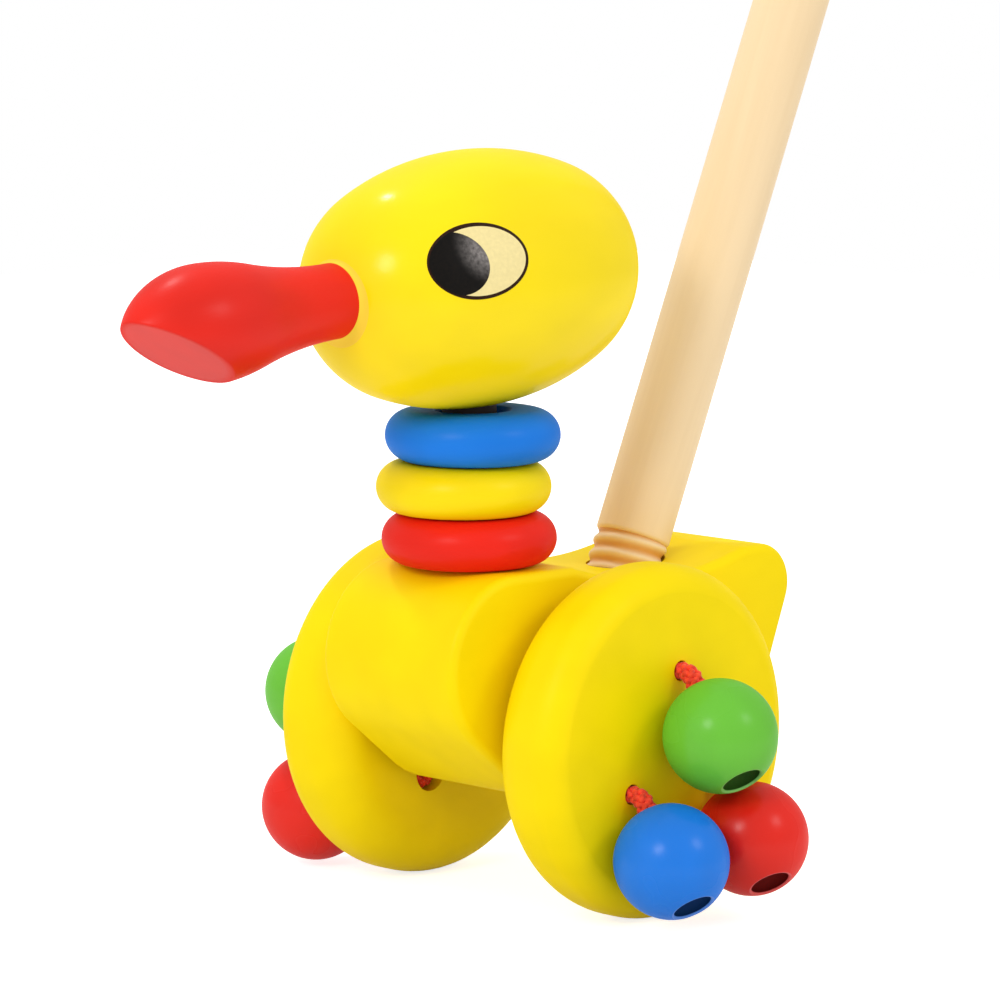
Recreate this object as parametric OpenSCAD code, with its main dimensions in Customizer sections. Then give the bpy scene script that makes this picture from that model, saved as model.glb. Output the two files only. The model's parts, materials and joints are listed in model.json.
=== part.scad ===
// Wooden duck push toy: a plank-bodied duck on two wheels, with ball beads
// on short cords, loose neck rings and a screw-in push stick.
// The duck faces +X, its left side is +Y, and the floor is at Z = 0.

/* [Wheels] */
// Diameter of a wheel
wheel_d = 78; // [64:1:100]
// Thickness of a wheel
wheel_t = 20; // [17:0.5:28]
// Rounding of the rim on the outer face
wheel_round_out = 5.5; // [2:0.5:8]
// Rounding of the rim on the inner face
wheel_round_in = 10; // [2:0.5:11]
// Gap between the body and each wheel
wheel_gap = 3; // [1:0.25:6]
// Diameter of the axle
axle_d = 10; // [6:0.5:14]
// Depth of the blind axle socket in a wheel
axle_socket = 13; // [8:0.5:15]

/* [Beads] */
// Diameter of a ball bead
bead_d = 25; // [20:0.5:27]
// Gap between neighbouring beads that hang alike
bead_space = 3; // [3:0.1:8]
// Direction of the left wheel's first cord hole, from the front
left_hole_angle = 92; // [0:1:359]
// Direction of the right wheel's first cord hole, from the front
right_hole_angle = 62; // [0:1:359]
// Uneven drilling of the left wheel's green, blue and red hole, upwards round the wheel
left_hole_shift = [6, -6.5, -1]; // [-7:0.5:7]
// Uneven drilling of the right wheel's green, blue and red hole, upwards round the wheel
right_hole_shift = [-5.5, 0, 0]; // [-7:0.5:7]
// Forward swing of the left green, blue and red bead
left_swing = [7.5, 7.5, 13]; // [-5:0.5:20]
// Forward swing of the right green, blue and red bead
right_swing = [12, 12, 20]; // [8:0.5:24]
// Radial room round the knot in the bead's wide bore
bead_bore_room = 1.2; // [0.4:0.1:1.5]
// Gap between a bead and the wheel's face
bead_gap = 0.3; // [0.2:0.1:2]

/* [Cords] */
// Diameter of a cord
cord_d = 4.1; // [2.5:0.1:4.2]
// Diameter of the knot at each cord end
knot_d = 6.8; // [5.5:0.1:7]
// Length of a knot
knot_l = 5.6; // [4:0.1:6.5]
// Slope of the hanging cord, below level
hang_angle = 50.5; // [40:0.5:60]
// Radius of the cord's bend at the wheel's face
cord_bend_r = 3; // [2.25:0.25:5]
// Radial room round the cord in its holes
cord_room = 0.4; // [0.4:0.1:1]
// Radial room round the knot in the wheel's pocket
pocket_room = 1.1; // [0.6:0.1:2]
// Depth of the pocket beyond the knot
pocket_spare = 1; // [0.5:0.1:3]

/* [Body] */
// Thickness of the body
body_t = 40; // [30:1:55]
// Radius of the chest
chest_r = 20; // [17:0.5:24]
// Distance of the chest's centre in front of the axle
chest_x = 25.4; // [20:0.2:40]
// Height of the chest's centre above the axle
chest_z = 17.5; // [14:0.5:20]
// Radius of the tail's round tip
tail_r = 9.5; // [5:0.5:10]
// Distance of the tail tip's centre behind the axle
tail_x = 56; // [48:0.5:80]
// Height of the tail tip's centre above the axle
tail_z = 26; // [22:0.2:32]
// Radius of the two ends of the belly
belly_r = 24; // [20:0.5:26]
// Height of the belly's bottom below the axle
belly_drop = 13.8; // [9:0.2:18]
// Distance of the belly's front bend before the axle
belly_front_x = 10; // [4:0.5:16]
// Distance of the belly's rear bend behind the axle
belly_rear_x = 34; // [26:0.5:44]
// Radius of the hollow of the back
saddle_r = 95; // [80:1:140]
// Distance of the hollow's lowest point behind the axle
saddle_x = 24; // [18:0.5:30]
// Height of the hollow's lowest point above the axle
saddle_z = 32; // [29:0.1:33]

/* [Neck] */
// Distance of the neck before the axle
neck_x = 19.6; // [14:0.2:26]
// Diameter of the neck dowel
dowel_d = 12; // [9:0.5:13]
// Depth of the dowel's socket in the body
dowel_socket = 16; // [10:0.5:20]
// Depth of the dowel's socket in the head
dowel_head_socket = 20; // [12:0.5:28]
// Outer diameter of a neck ring
ring_d = 38.5; // [30:0.5:46]
// Thickness of a neck ring
ring_t = 11.2; // [8:0.2:14]
// Radial play of a neck ring on the dowel
ring_play = 2; // [1.6:0.1:3]
// Sideways slip of the red, yellow and blue ring, to the duck's left rear
ring_slip = [0, -1.2, 0.8]; // [-1.4:0.1:1.4]

/* [Head] */
// Length of the head
head_l = 84.8; // [72:0.2:104]
// Diameter of the head
head_d = 56; // [46:0.1:66]
// Radius of the head's two ends
head_end_r = 24.8; // [17:0.2:25]
// Nose-down tilt of the head
head_tilt = 3.4; // [0:0.2:8]
// Gap between the head and the top ring
head_gap = 0.6; // [0.6:0.1:4]
// Distance of the head's middle behind the neck
head_back = 0.4; // [-2:0.1:2]

/* [Beak] */
// Diameter of the beak where it leaves the head
beak_root_d = 16.2; // [11:0.2:18]
// Height of the beak's axis above the head's axis
beak_lift = 0.5; // [-3:0.1:3]
// Depth of the beak's socket in the head
beak_socket = 14; // [8:0.5:18]
// Length of the beak in front of the head
beak_l = 57.8; // [48:0.1:76]
// Diameter of the beak's bulb
beak_bulb_d = 25.6; // [21:0.2:32]
// Distance of the bulb's widest place from the tip
beak_bulb_back = 20.8; // [18:0.1:26]
// Radius of the bulb's tip
beak_tip_r = 5.5; // [5:0.5:9]
// Share of the curve behind the bulb that swells outwards, before it turns inwards to the waist
beak_swell = 0.36; // [0.2:0.02:0.8]
// Slope of the flat cut under the tip
beak_cut_angle = 34; // [20:1:36]
// Height of the cut's front edge above the beak's axis, at the tip
beak_cut_rise = 3.8; // [-3:0.1:4]
// Turn of the flat cut about the beak's axis, towards the duck's left
beak_cut_turn = 8.5; // [-15:0.5:15]

/* [Push stick] */
// Diameter of the stick
stick_d = 17; // [14:0.5:19]
// Length of the plain stick above the thread
stick_l = 420; // [300:5:520]
// Backward lean of the stick
stick_lean = 24.2; // [16:0.1:32]
// Place of the stick behind the axle, where it meets the back
stick_x = 31; // [27:0.2:34]
// Length of thread that shows above the back
thread_show = 5.5; // [5:0.5:12]
// Depth of the threaded socket along the stick
thread_socket = 24; // [18:0.5:28]
// Pitch of the thread
thread_pitch = 3.5; // [3:0.1:6]
// Depth of the thread's ridges below the plain stick
thread_inset = 0.1; // [0:0.05:0.5]
// Depth of the thread's grooves
thread_depth = 0.8; // [0.8:0.1:1.6]
// Diameter of the knob on the stick's end
knob_d = 34; // [26:0.5:44]
// Depth of the stick's socket in the knob
knob_socket = 18; // [12:0.5:20]

/* [Clearances] */
// Radial clearance of the axle in the body
axle_clear = 0.1; // [0.05:0.05:0.6]
// Radial clearance of the wooden thread
thread_clear = 0.2; // [0.2:0.05:0.5]
// Gap between pieces that lie loosely on each other
rest_gap = 0.15; // [0.1:0.05:0.4]
// Gap between a knot and the shoulder that it pulls on
cord_end_gap = 0.3; // [0.2:0.05:0.6]

/* [Hidden] */
$fn = 64;

yellow = "#FBDC05";
red = "#E8281F";
blue = "#1E78DC";
green = "#66C03A";
wood = "#EFCB95";
cord_red = "#F0361F";

GREEN = 0;
BLUE = 1;
RED = 2;
bead_colors = [green, blue, red];
hole_step = 120;
left_holes = [for (i = [GREEN, BLUE, RED]) left_hole_angle - i * hole_step + left_hole_shift[i]];
right_holes = [for (i = [GREEN, BLUE, RED]) right_hole_angle + i * hole_step + right_hole_shift[i]];

// Overrun of a cut beyond the face that it opens
over = 1;
// Depth at which a straight stretch of the outline starts inside its circle
blend = 0.01;
// Least flat between the two roundings of a wheel's rim
rim_flat = 2;
// Largest share of the head's half-width that its end radius takes
head_round_share = 0.92;
// Shape of a knot from the cord outwards: shares of its length and of its half-width
knot_shape = [[0.08, 0.72], [0.3, 1], [0.65, 1], [0.92, 0.72], [1, 0.36]];
// Shares of the cord's bend at which it has a ring of points
bend_shares = [0, 0.25, 0.5, 0.75, 1];

axle_z = wheel_d / 2;
wheel_in_y = body_t / 2 + wheel_gap;
wheel_out_y = wheel_in_y + wheel_t;
axle_l = 2 * (wheel_in_y + axle_socket);
rim_in_r = min(wheel_round_in, wheel_t / 2);
rim_out_r = min(wheel_round_out, wheel_t - rim_in_r - rim_flat);

bead_r = bead_d / 2;
hole_circle_r = (bead_d + bead_space) / sqrt(3);
cord_r = cord_d / 2;
cord_hole_r = cord_r + cord_room;
pocket_r = knot_d / 2 + pocket_room;
pocket_depth = knot_l + pocket_spare + cord_end_gap;
bead_bore_r = knot_d / 2 + bead_bore_room;
cord_start = cord_r / 2;
cord_drop_l = (bead_r + bead_gap - cord_start - cord_bend_r * sin(hang_angle)) / cos(hang_angle);
bead_y = bead_r + bead_gap;
bead_drop = cord_bend_r * (1 - cos(hang_angle)) + cord_drop_l * sin(hang_angle);
bend_l = cord_bend_r * hang_angle * PI / 180;
cord_sides = 8;

chest_top = chest_z + chest_r;
ring_pitch = ring_t + rest_gap;
ring_z0 = axle_z + chest_top + rest_gap + ring_t / 2;
ring_top = ring_z0 + 2 * ring_pitch + ring_t / 2;
head_z = ring_top + head_gap + head_d / 2;
slip_dir = [-sqrt(0.5), sqrt(0.5)];
dowel_bottom = axle_z + chest_top - dowel_socket;
dowel_top = head_z - head_d / 2 + dowel_head_socket;

head_round = min(head_end_r, head_round_share * head_d / 2);
ring_bore_r = dowel_d / 2 + ring_play;
beak_root_z = head_l / 2 - beak_socket;
beak_tip_z = head_l / 2 + beak_l;
beak_bulb_z = beak_tip_z - beak_bulb_back;

stick_r = stick_d / 2;
saddle_c = [-saddle_x, saddle_z + saddle_r];
stick_foot = [-stick_x, saddle_height(-stick_x)];
thread_crest = stick_r - thread_inset;
thread_sides = 24;
thread_rings = 8;
knob_z = thread_show + stick_l - knob_socket + sqrt(pow(knob_d / 2, 2) - pow(stick_r, 2));

// Radius of the long sides of an oval made of four arcs
function oval_side_r(a, b, end_r) = (pow(a - end_r, 2) + b * b - end_r * end_r) / (2 * (b - end_r));

// Height of the back's hollow above the axle at distance x
function saddle_height(x) = saddle_c[1] - sqrt(saddle_r * saddle_r - pow(x - saddle_c[0], 2));

// Circles of the body's side outline, counter-clockwise: [x, z, radius]
function body_circles() = [
    [chest_x, chest_z, chest_r],
    [-tail_x, tail_z, tail_r],
    [-belly_rear_x, belly_r - belly_drop, belly_r],
    [belly_front_x, belly_r - belly_drop, belly_r]
];

// Outward normal of the line that touches two circles from outside
function tangent_normal(a, b) =
    let(d = [b[0] - a[0], b[1] - a[1]])
    let(u = d / norm(d))
    let(k = (a[2] - b[2]) / norm(d))
    u * k + [u[1], -u[0]] * sqrt(1 - k * k);

// Ends of the outline's straight stretches, a hair inside its circles
function tangent_points(c) = [
    for (i = [0 : len(c) - 1])
        let(a = c[i])
        let(b = c[(i + 1) % len(c)])
        let(m = tangent_normal(a, b))
        each [[a[0], a[1]] + m * (a[2] - blend), [b[0], b[1]] + m * (b[2] - blend)]
];

// Rings of points joined into one closed solid
module skin(rings) {
    sides = len(rings[0]);
    last = len(rings) - 1;
    points = [for (r = rings) each r];
    polyhedron(points, [
        [for (k = [0 : sides - 1]) k],
        [for (k = [sides - 1 : -1 : 0]) last * sides + k],
        for (i = [0 : last - 1], k = [0 : sides - 1])
            let(p = i * sides + k)
            let(q = i * sides + (k + 1) % sides)
            each [[p, p + sides, q], [q, p + sides, q + sides]]
    ]);
}

// A screw with rounded ridges along Z, from height z0 to z1
module screw(crest, z0, z1) {
    turns = (z1 - z0) / thread_pitch;
    steps = ceil(turns * thread_rings);
    skin([
        for (i = [0 : steps])
            let(z = z0 + (z1 - z0) * i / steps)
            [
                for (k = [0 : thread_sides - 1])
                    let(a = 360 * k / thread_sides)
                    let(ridge = 0.5 + 0.5 * cos(360 * z / thread_pitch - a))
                    let(r = crest - thread_depth * (1 - ridge))
                    [r * cos(a), r * sin(a), z]
            ]
    ]);
}

// Half of an oval made of four arcs, for turning about its long axis
module half_oval(a, b, end_r) {
    side_r = oval_side_r(a, b, end_r);
    meet = (a - end_r) * (1 + end_r / (side_r - end_r));
    intersection() {
        union() {
            for (s = [-1, 1]) translate([0, s * (a - end_r)]) circle(end_r);
            intersection() {
                translate([b - side_r, 0]) circle(side_r);
                translate([0, -meet]) square([b, 2 * meet]);
            }
        }
        translate([0, -a]) square([b, 2 * a]);
    }
}

// Place something on the neck's axis line, at height z
module at_neck(z) {
    translate([neck_x, 0, z]) children();
}

// Turn the head's own frame, +Z to the beak, into place
module at_head() {
    at_neck(head_z) translate([-head_back, 0, 0]) rotate([0, 90 + head_tilt, 0]) children();
}

// The beak's own frame, level with the head's and a little higher
module at_beak() {
    at_head() translate([-beak_lift, 0, 0]) children();
}

// Turn the stick's own frame, +Z up the stick, into place
module at_stick() {
    translate([stick_foot[0], 0, axle_z + stick_foot[1]]) rotate([0, -stick_lean, 0]) children();
}

// Lay a cylinder along the axle, from y0 to y1
module along_axle(r, y0, y1) {
    translate([0, y0, axle_z]) rotate([-90, 0, 0]) cylinder(r = r, h = y1 - y0);
}

// Place something on one of a wheel's cord holes, on its outer face
module at_hole(angle) {
    translate([hole_circle_r * cos(angle), wheel_out_y, axle_z + hole_circle_r * sin(angle)])
        children();
}

// Turn the bead's own frame, +Z along its bore and away from the wheel, into place
module at_bead(angle, swing) {
    at_hole(angle) rotate([0, -swing, 0]) translate([0, bead_y, -bead_drop])
        rotate([-90 - hang_angle, 0, 0]) children();
}

module body_outline() {
    difference() {
        union() {
            for (c = body_circles()) translate([c[0], c[1]]) circle(c[2]);
            polygon(tangent_points(body_circles()));
        }
        translate(saddle_c) circle(saddle_r, $fn = 128);
    }
}

module body() {
    color(yellow) difference() {
        translate([0, 0, axle_z]) rotate([90, 0, 0])
            linear_extrude(body_t, center = true) body_outline();
        along_axle(axle_d / 2 + axle_clear, -body_t, body_t);
        at_neck(dowel_bottom) cylinder(d = dowel_d, h = dowel_socket + over);
        at_stick() screw(thread_crest + thread_clear, -thread_socket, thread_show);
    }
}

module neck_dowel() {
    color(wood) at_neck(dowel_bottom) cylinder(d = dowel_d, h = dowel_top - dowel_bottom);
}

module head() {
    color(yellow) difference() {
        at_head() rotate_extrude() half_oval(head_l / 2, head_d / 2, head_round);
        at_neck(head_z - head_d) cylinder(d = dowel_d, h = dowel_top - head_z + head_d);
        at_beak() translate([0, 0, beak_root_z]) cylinder(d = beak_root_d, h = head_l);
    }
}

// Half outline of the turned beak, before its flat cut
module beak_outline() {
    root_r = beak_root_d / 2;
    bulb_r = beak_bulb_d / 2;
    curve_l = beak_bulb_z - head_l / 2;
    step = bulb_r - root_r;
    arcs_r = (curve_l * curve_l + step * step) / (2 * step);
    swell_r = beak_swell * arcs_r;
    waist_r = arcs_r - swell_r;
    meet_z = beak_bulb_z - beak_swell * curve_l;
    translate([0, beak_root_z]) square([root_r, beak_socket]);
    difference() {
        translate([0, head_l / 2]) square([bulb_r - beak_swell * step, meet_z - head_l / 2]);
        translate([root_r + waist_r, head_l / 2]) circle(waist_r, $fn = 128);
    }
    intersection() {
        translate([bulb_r - swell_r, beak_bulb_z]) circle(swell_r, $fn = 128);
        translate([0, meet_z]) square([bulb_r, beak_bulb_z - meet_z]);
    }
    intersection() {
        translate([0, beak_bulb_z]) half_oval(beak_bulb_back, bulb_r, beak_tip_r);
        translate([0, beak_bulb_z]) square([bulb_r, beak_bulb_back]);
    }
}

module beak() {
    cut = beak_l + beak_bulb_d;
    color(red) at_beak() difference() {
        rotate_extrude() beak_outline();
        translate([-beak_cut_rise, 0, beak_tip_z]) rotate([0, -beak_cut_angle, beak_cut_turn])
            translate([0, -cut / 2, -cut]) cube([cut, cut, 2 * cut]);
    }
}

// A rounded neck ring, number i from below
module ring(i, colour) {
    at_neck(ring_z0 + i * ring_pitch) translate(slip_dir * ring_slip[i])
        color(colour) rotate_extrude() difference() {
            union() {
                translate([ring_d / 2 - ring_t / 2, 0]) circle(d = ring_t);
                translate([0, -ring_t / 2]) square([ring_d / 2 - ring_t / 2, ring_t]);
            }
            translate([-over, -ring_t]) square([over + ring_bore_r, 2 * ring_t]);
        }
}

module ring_red() {
    ring(0, red);
}

module ring_yellow() {
    ring(1, yellow);
}

module ring_blue() {
    ring(2, blue);
}

module stick() {
    color(wood) at_stick() {
        translate([0, 0, thread_show]) cylinder(r = stick_r, h = stick_l);
        screw(thread_crest, rest_gap - thread_socket, thread_show + over);
    }
}

module knob() {
    color(wood) at_stick() difference() {
        translate([0, 0, knob_z]) sphere(d = knob_d);
        translate([0, 0, thread_show + stick_l - knob_d]) cylinder(r = stick_r, h = knob_d);
    }
}

module axle() {
    color(wood) along_axle(axle_d / 2, -axle_l / 2, axle_l / 2);
}

// Half outline of a wheel: radius along X, thickness along Y from the inner face
module wheel_outline() {
    r = wheel_d / 2;
    square([r - rim_in_r, wheel_t / 2]);
    translate([0, wheel_t / 2]) square([r - rim_out_r, wheel_t / 2]);
    translate([0, rim_in_r]) square([r, wheel_t - rim_in_r - rim_out_r]);
    translate([r - rim_in_r, rim_in_r]) circle(rim_in_r);
    translate([r - rim_out_r, wheel_t - rim_out_r]) circle(rim_out_r);
}

// The wheel of the left side, with its cord holes in the given directions
module wheel(holes) {
    color(yellow) difference() {
        translate([0, wheel_in_y, axle_z]) rotate([-90, 0, 0]) rotate_extrude() wheel_outline();
        along_axle(axle_d / 2, wheel_in_y - over, wheel_in_y + axle_socket);
        for (angle = holes) at_hole(angle) rotate([90, 0, 0]) {
            translate([0, 0, -over]) cylinder(r = cord_hole_r, h = wheel_t + 2 * over);
            translate([0, 0, wheel_t - pocket_depth]) cylinder(r = pocket_r, h = pocket_depth + over);
        }
    }
}

module wheel_left() {
    wheel(left_holes);
}

module wheel_right() {
    mirror([0, 1, 0]) wheel(right_holes);
}

// A ball bead of the left side with a stepped bore
module bead(i, holes, swing) {
    color(bead_colors[i]) at_bead(holes[i], swing[i]) difference() {
        sphere(r = bead_r);
        translate([0, 0, -bead_d]) cylinder(r = cord_hole_r, h = 2 * bead_d);
        cylinder(r = bead_bore_r, h = bead_d);
    }
}

// Stations of a knot, each as [distance along the cord, radius]
function knot_stations(start, dir) = [
    [start, cord_r],
    for (k = knot_shape) [start + dir * k[0] * knot_l, k[1] * knot_d / 2]
];

// Stations of a cord: the wheel's knot, the straight run, the bend, the drop, the bead's knot
function cord_stations() =
    let(wheel_knot = pocket_depth - wheel_t - cord_end_gap - cord_start)
    let(bead_knot = bend_l + cord_drop_l + cord_end_gap)
    let(wheel_end = knot_stations(wheel_knot, -1))
    [
        for (i = [len(wheel_end) - 1 : -1 : 0]) wheel_end[i],
        [wheel_knot / 2, cord_r],
        for (t = bend_shares) [t * bend_l, cord_r],
        [bend_l + cord_drop_l / 2, cord_r],
        each knot_stations(bead_knot, 1)
    ];

// Ring of a cord at distance s from the start of its bend
function cord_ring(s, r) =
    let(turn = hang_angle * min(max(s / bend_l, 0), 1))
    let(run = min(s, 0))
    let(drop = max(s - bend_l, 0))
    let(y = cord_start + run + cord_bend_r * sin(turn) + drop * cos(turn))
    let(z = -cord_bend_r * (1 - cos(turn)) - drop * sin(turn))
    [
        for (k = [0 : cord_sides - 1])
            let(a = 360 * k / cord_sides)
            [r * cos(a), y + r * sin(a) * sin(turn), z + r * sin(a) * cos(turn)]
    ];

// The cord of one bead of the left side, from knot to knot
module cord(i, holes, swing) {
    color(cord_red) at_hole(holes[i]) rotate([0, -swing[i], 0])
        skin([for (s = cord_stations()) cord_ring(s[0], s[1])]);
}

module bead_left(i) {
    bead(i, left_holes, left_swing);
}

module bead_right(i) {
    mirror([0, 1, 0]) bead(i, right_holes, right_swing);
}

module cord_left(i) {
    cord(i, left_holes, left_swing);
}

module cord_right(i) {
    mirror([0, 1, 0]) cord(i, right_holes, right_swing);
}

body();
neck_dowel();
head();
beak();
ring_red();
ring_yellow();
ring_blue();
stick();
knob();
axle();
wheel_left();
wheel_right();
bead_left(GREEN);  // bead_left_green
bead_left(BLUE);  // bead_left_blue
bead_left(RED);  // bead_left_red
bead_right(GREEN);  // bead_right_green
bead_right(BLUE);  // bead_right_blue
bead_right(RED);  // bead_right_red
cord_left(GREEN);  // cord_left_green
cord_left(BLUE);  // cord_left_blue
cord_left(RED);  // cord_left_red
cord_right(GREEN);  // cord_right_green
cord_right(BLUE);  // cord_right_blue
cord_right(RED);  // cord_right_red
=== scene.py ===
import json
import math

import bmesh
import bpy
from bpy.props import (
    FloatProperty,
    FloatVectorProperty,
    IntProperty,
    PointerProperty,
    StringProperty,
)
from bpy.types import Operator, Panel, PropertyGroup
from mathutils import Matrix, Vector


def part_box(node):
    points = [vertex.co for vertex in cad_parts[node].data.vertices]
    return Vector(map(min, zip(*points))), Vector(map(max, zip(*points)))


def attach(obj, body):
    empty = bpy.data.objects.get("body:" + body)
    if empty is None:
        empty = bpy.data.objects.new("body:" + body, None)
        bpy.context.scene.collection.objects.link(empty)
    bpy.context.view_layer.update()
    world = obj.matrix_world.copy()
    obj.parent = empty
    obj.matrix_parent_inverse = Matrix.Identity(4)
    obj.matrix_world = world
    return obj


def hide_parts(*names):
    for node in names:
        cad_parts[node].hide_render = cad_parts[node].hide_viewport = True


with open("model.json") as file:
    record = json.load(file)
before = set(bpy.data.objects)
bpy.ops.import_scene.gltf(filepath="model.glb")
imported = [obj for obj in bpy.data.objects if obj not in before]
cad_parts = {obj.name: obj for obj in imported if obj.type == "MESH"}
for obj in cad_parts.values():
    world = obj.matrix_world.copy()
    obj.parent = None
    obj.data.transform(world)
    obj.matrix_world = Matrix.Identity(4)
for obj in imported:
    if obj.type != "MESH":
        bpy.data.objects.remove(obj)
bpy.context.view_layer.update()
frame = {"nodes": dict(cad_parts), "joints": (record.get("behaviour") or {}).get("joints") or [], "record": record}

bl_info = {
    "name": "Wooden duck push toy",
    "version": (1, 0, 0),
    "blender": (4, 5, 0),
    "location": "View3D > Sidebar > Duck toy",
    "description": "Builds the looks of a wooden push-along duck round its packed frame",
    "category": "Object",
}

MM = 0.001
JOINTS = {joint["name"]: joint for joint in frame["joints"]}
SIDES = {"left": 1, "right": -1}
BEAD_COLOURS = ("green", "blue", "red")
RING_COLOURS = ("red", "yellow", "blue")
FULL_TURN = 2 * math.pi
QUARTER_TURN = math.pi / 2
AXIS_X = Vector((1, 0, 0))
AXIS_Y = Vector((0, 1, 0))

# Edges that turn by more than this stay sharp
SHARP = math.radians(35)

# Faces round a turned piece or bore
LARGE_ROUND = 160
MIDDLE_ROUND = 128
STICK_ROUND = 96
BORE_ROUND = 64
CORD_HOLE_ROUND = 48

# A turned point nearer to its axis than this is a pole
ON_AXIS = 1e-7

# Strip of flat face that is kept beside a rounding, so that the rest shades flat
FACE_HOLD = 0.4 * MM
RING_HOLD = 0.3 * MM

# Steps in a bore's rounded lip, and how strong the painted highlight is on that lip and the painted sheen on the
# beak's cut
LIP_STEPS = 6
LIP_PAINTED_HIGHLIGHT = 0.2
CUT_PAINTED_SHEEN = 0.1


# Places that the frame gives

def joint_place(name):
    """Where a joint's axis passes, in metres."""
    return Vector(JOINTS[name]["pos_m"])


def joint_axis(name):
    """Direction of a joint's axis."""
    return Vector(JOINTS[name]["axis"]).normalized()


def extent(node):
    """Lengths of a node's box along X, Y and Z."""
    low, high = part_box(node)
    return high - low


AXLE = joint_place("wheel_roll")
WHEEL_R = extent("wheel_left").z / 2
WHEEL_T = extent("wheel_left").y
BODY_T = extent("body").y
RING_R = extent("ring_red").x / 2
RING_T = extent("ring_red").z
DOWEL_R = extent("neck_dowel").x / 2
AXLE_R = extent("axle").z / 2
NECK = joint_place("ring_red_turn").xy.to_3d()
RING_TOP = joint_place("ring_blue_turn").z + RING_T / 2


# Settings that a user would change

def length(name, description, millimetres):
    """A length property with its default in millimetres."""
    return FloatProperty(
        name=name,
        description=description,
        default=millimetres * MM,
        subtype="DISTANCE",
        unit="LENGTH",
        precision=5,
    )


def angle(name, description, degrees):
    """An angle property with its default in degrees."""
    return FloatProperty(
        name=name,
        description=description,
        default=math.radians(degrees),
        subtype="ANGLE",
        unit="ROTATION",
    )


def lengths(name, description, *millimetres):
    """Three lengths in one property, with their defaults in millimetres."""
    return FloatVectorProperty(
        name=name,
        description=description,
        size=3,
        default=tuple(value * MM for value in millimetres),
        subtype="XYZ_LENGTH",
        unit="LENGTH",
        precision=5,
    )


def circle_setting(name, description, forward, height, radius):
    """A circle of the body's side outline, measured from the axle."""
    description += ": distance before the axle, height above it, radius"
    return lengths(name, description, forward, height, radius)


def number(name, description, value):
    """A plain number property."""
    return FloatProperty(name=name, description=description, default=value)


def paint(name, description, hex_colour):
    """A colour written as an sRGB hex value."""
    return StringProperty(name=name, description=description, default=hex_colour)


class BodySettings(PropertyGroup):
    """Outline and edges of the plank body"""

    chest: circle_setting("Chest", "Round chest", 25.4, 17.5, 20)
    tail: circle_setting("Tail", "Round tip of the tail", -56, 26, 9.5)
    rear_belly: circle_setting("Rear belly", "Rear bend of the belly", -34, 10.2, 24)
    front_belly: circle_setting("Front belly", "Front bend of the belly", 10, 10.2, 24)
    saddle: circle_setting("Saddle", "Hollow of the back", -24, 127, 95)
    edge_round: length("Edge rounding", "Rounding of the plank's long edges", 2.0)
    bore_room: length("Axle room", "Radial room of the axle in its bore", 0.1)


class WheelSettings(PropertyGroup):
    """Roundings and cord holes of the wheels"""

    round_out: length("Outer rounding", "Rounding of the rim on the outer face", 5.5)
    round_in: length("Inner rounding", "Rounding of the rim on the inner face", 10)
    crease: angle("Crease", "Angle left between the outer rounding and the face", 10)
    hole_r: length("Cord hole radius", "Radius of a cord hole", 2.2)
    hole_chamfer: length("Hole chamfer", "Chamfer at a cord hole's mouth", 0.15)
    pocket_r: length("Pocket radius", "Radius of the knot's pocket in the inner face", 4.5)
    pocket_depth: length("Pocket depth", "Depth of the knot's pocket", 6.9)


class NeckSettings(PropertyGroup):
    """Bores of the neck rings"""

    bore_r: length("Ring bore radius", "Radius of a ring's bore", 8)
    bore_round: length("Bore rounding", "Rounding of a ring's bore at both faces", 0.8)


class HeadSettings(PropertyGroup):
    """Turned head and its printed eyes"""

    long_side: length("Head length", "Length of the head", 84.8)
    across: length("Head diameter", "Diameter of the head", 56)
    end_r: length("End radius", "Radius of the head's two ends", 24.8)
    tilt: angle("Tilt", "Nose-down tilt of the head", 3.4)
    gap: length("Gap", "Gap between the head and the top ring", 0.6)
    back: length("Back", "Distance of the head's middle behind the neck", 0.4)
    eye_forward: length("Eye forward", "Distance of the eye before the head's middle", 20.4)
    eye_up: length("Eye level", "Height of the eye above the head's axis", 7.8)
    eye_l: length("Eye length", "Length of the eye, seen from the side", 23.0)
    eye_h: length("Eye height", "Height of the eye, seen from the side", 15.6)
    eye_tilt: angle("Eye tilt", "Nose-down tilt of the eye against the head", 6.5)
    eye_line: length("Eye outline", "Width of the eye's dark outline", 0.75)
    pupil_forward: length("Pupil forward", "Distance of the pupil before the head's middle", 25.7)
    pupil_up: length("Pupil level", "Height of the pupil above the head's axis", 7.8)
    pupil_l: length("Pupil length", "Length of the pupil, seen from the side", 13.4)
    pupil_h: length("Pupil height", "Height of the pupil, seen from the side", 13.1)
    # The pupil's shine is a painted reflection, drawn as grey dots round this spot
    shine_forward: length(
        "Shine forward", "Distance of the pupil's shine before the head's middle", 18.8
    )
    shine_up: length("Shine level", "Height of the pupil's shine above the head's axis", 10)
    shine_r: length("Shine radius", "Radius of the pupil's shine", 7.5)
    ink_t: length("Ink thickness", "Thickness of each printed layer", 0.05)


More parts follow.
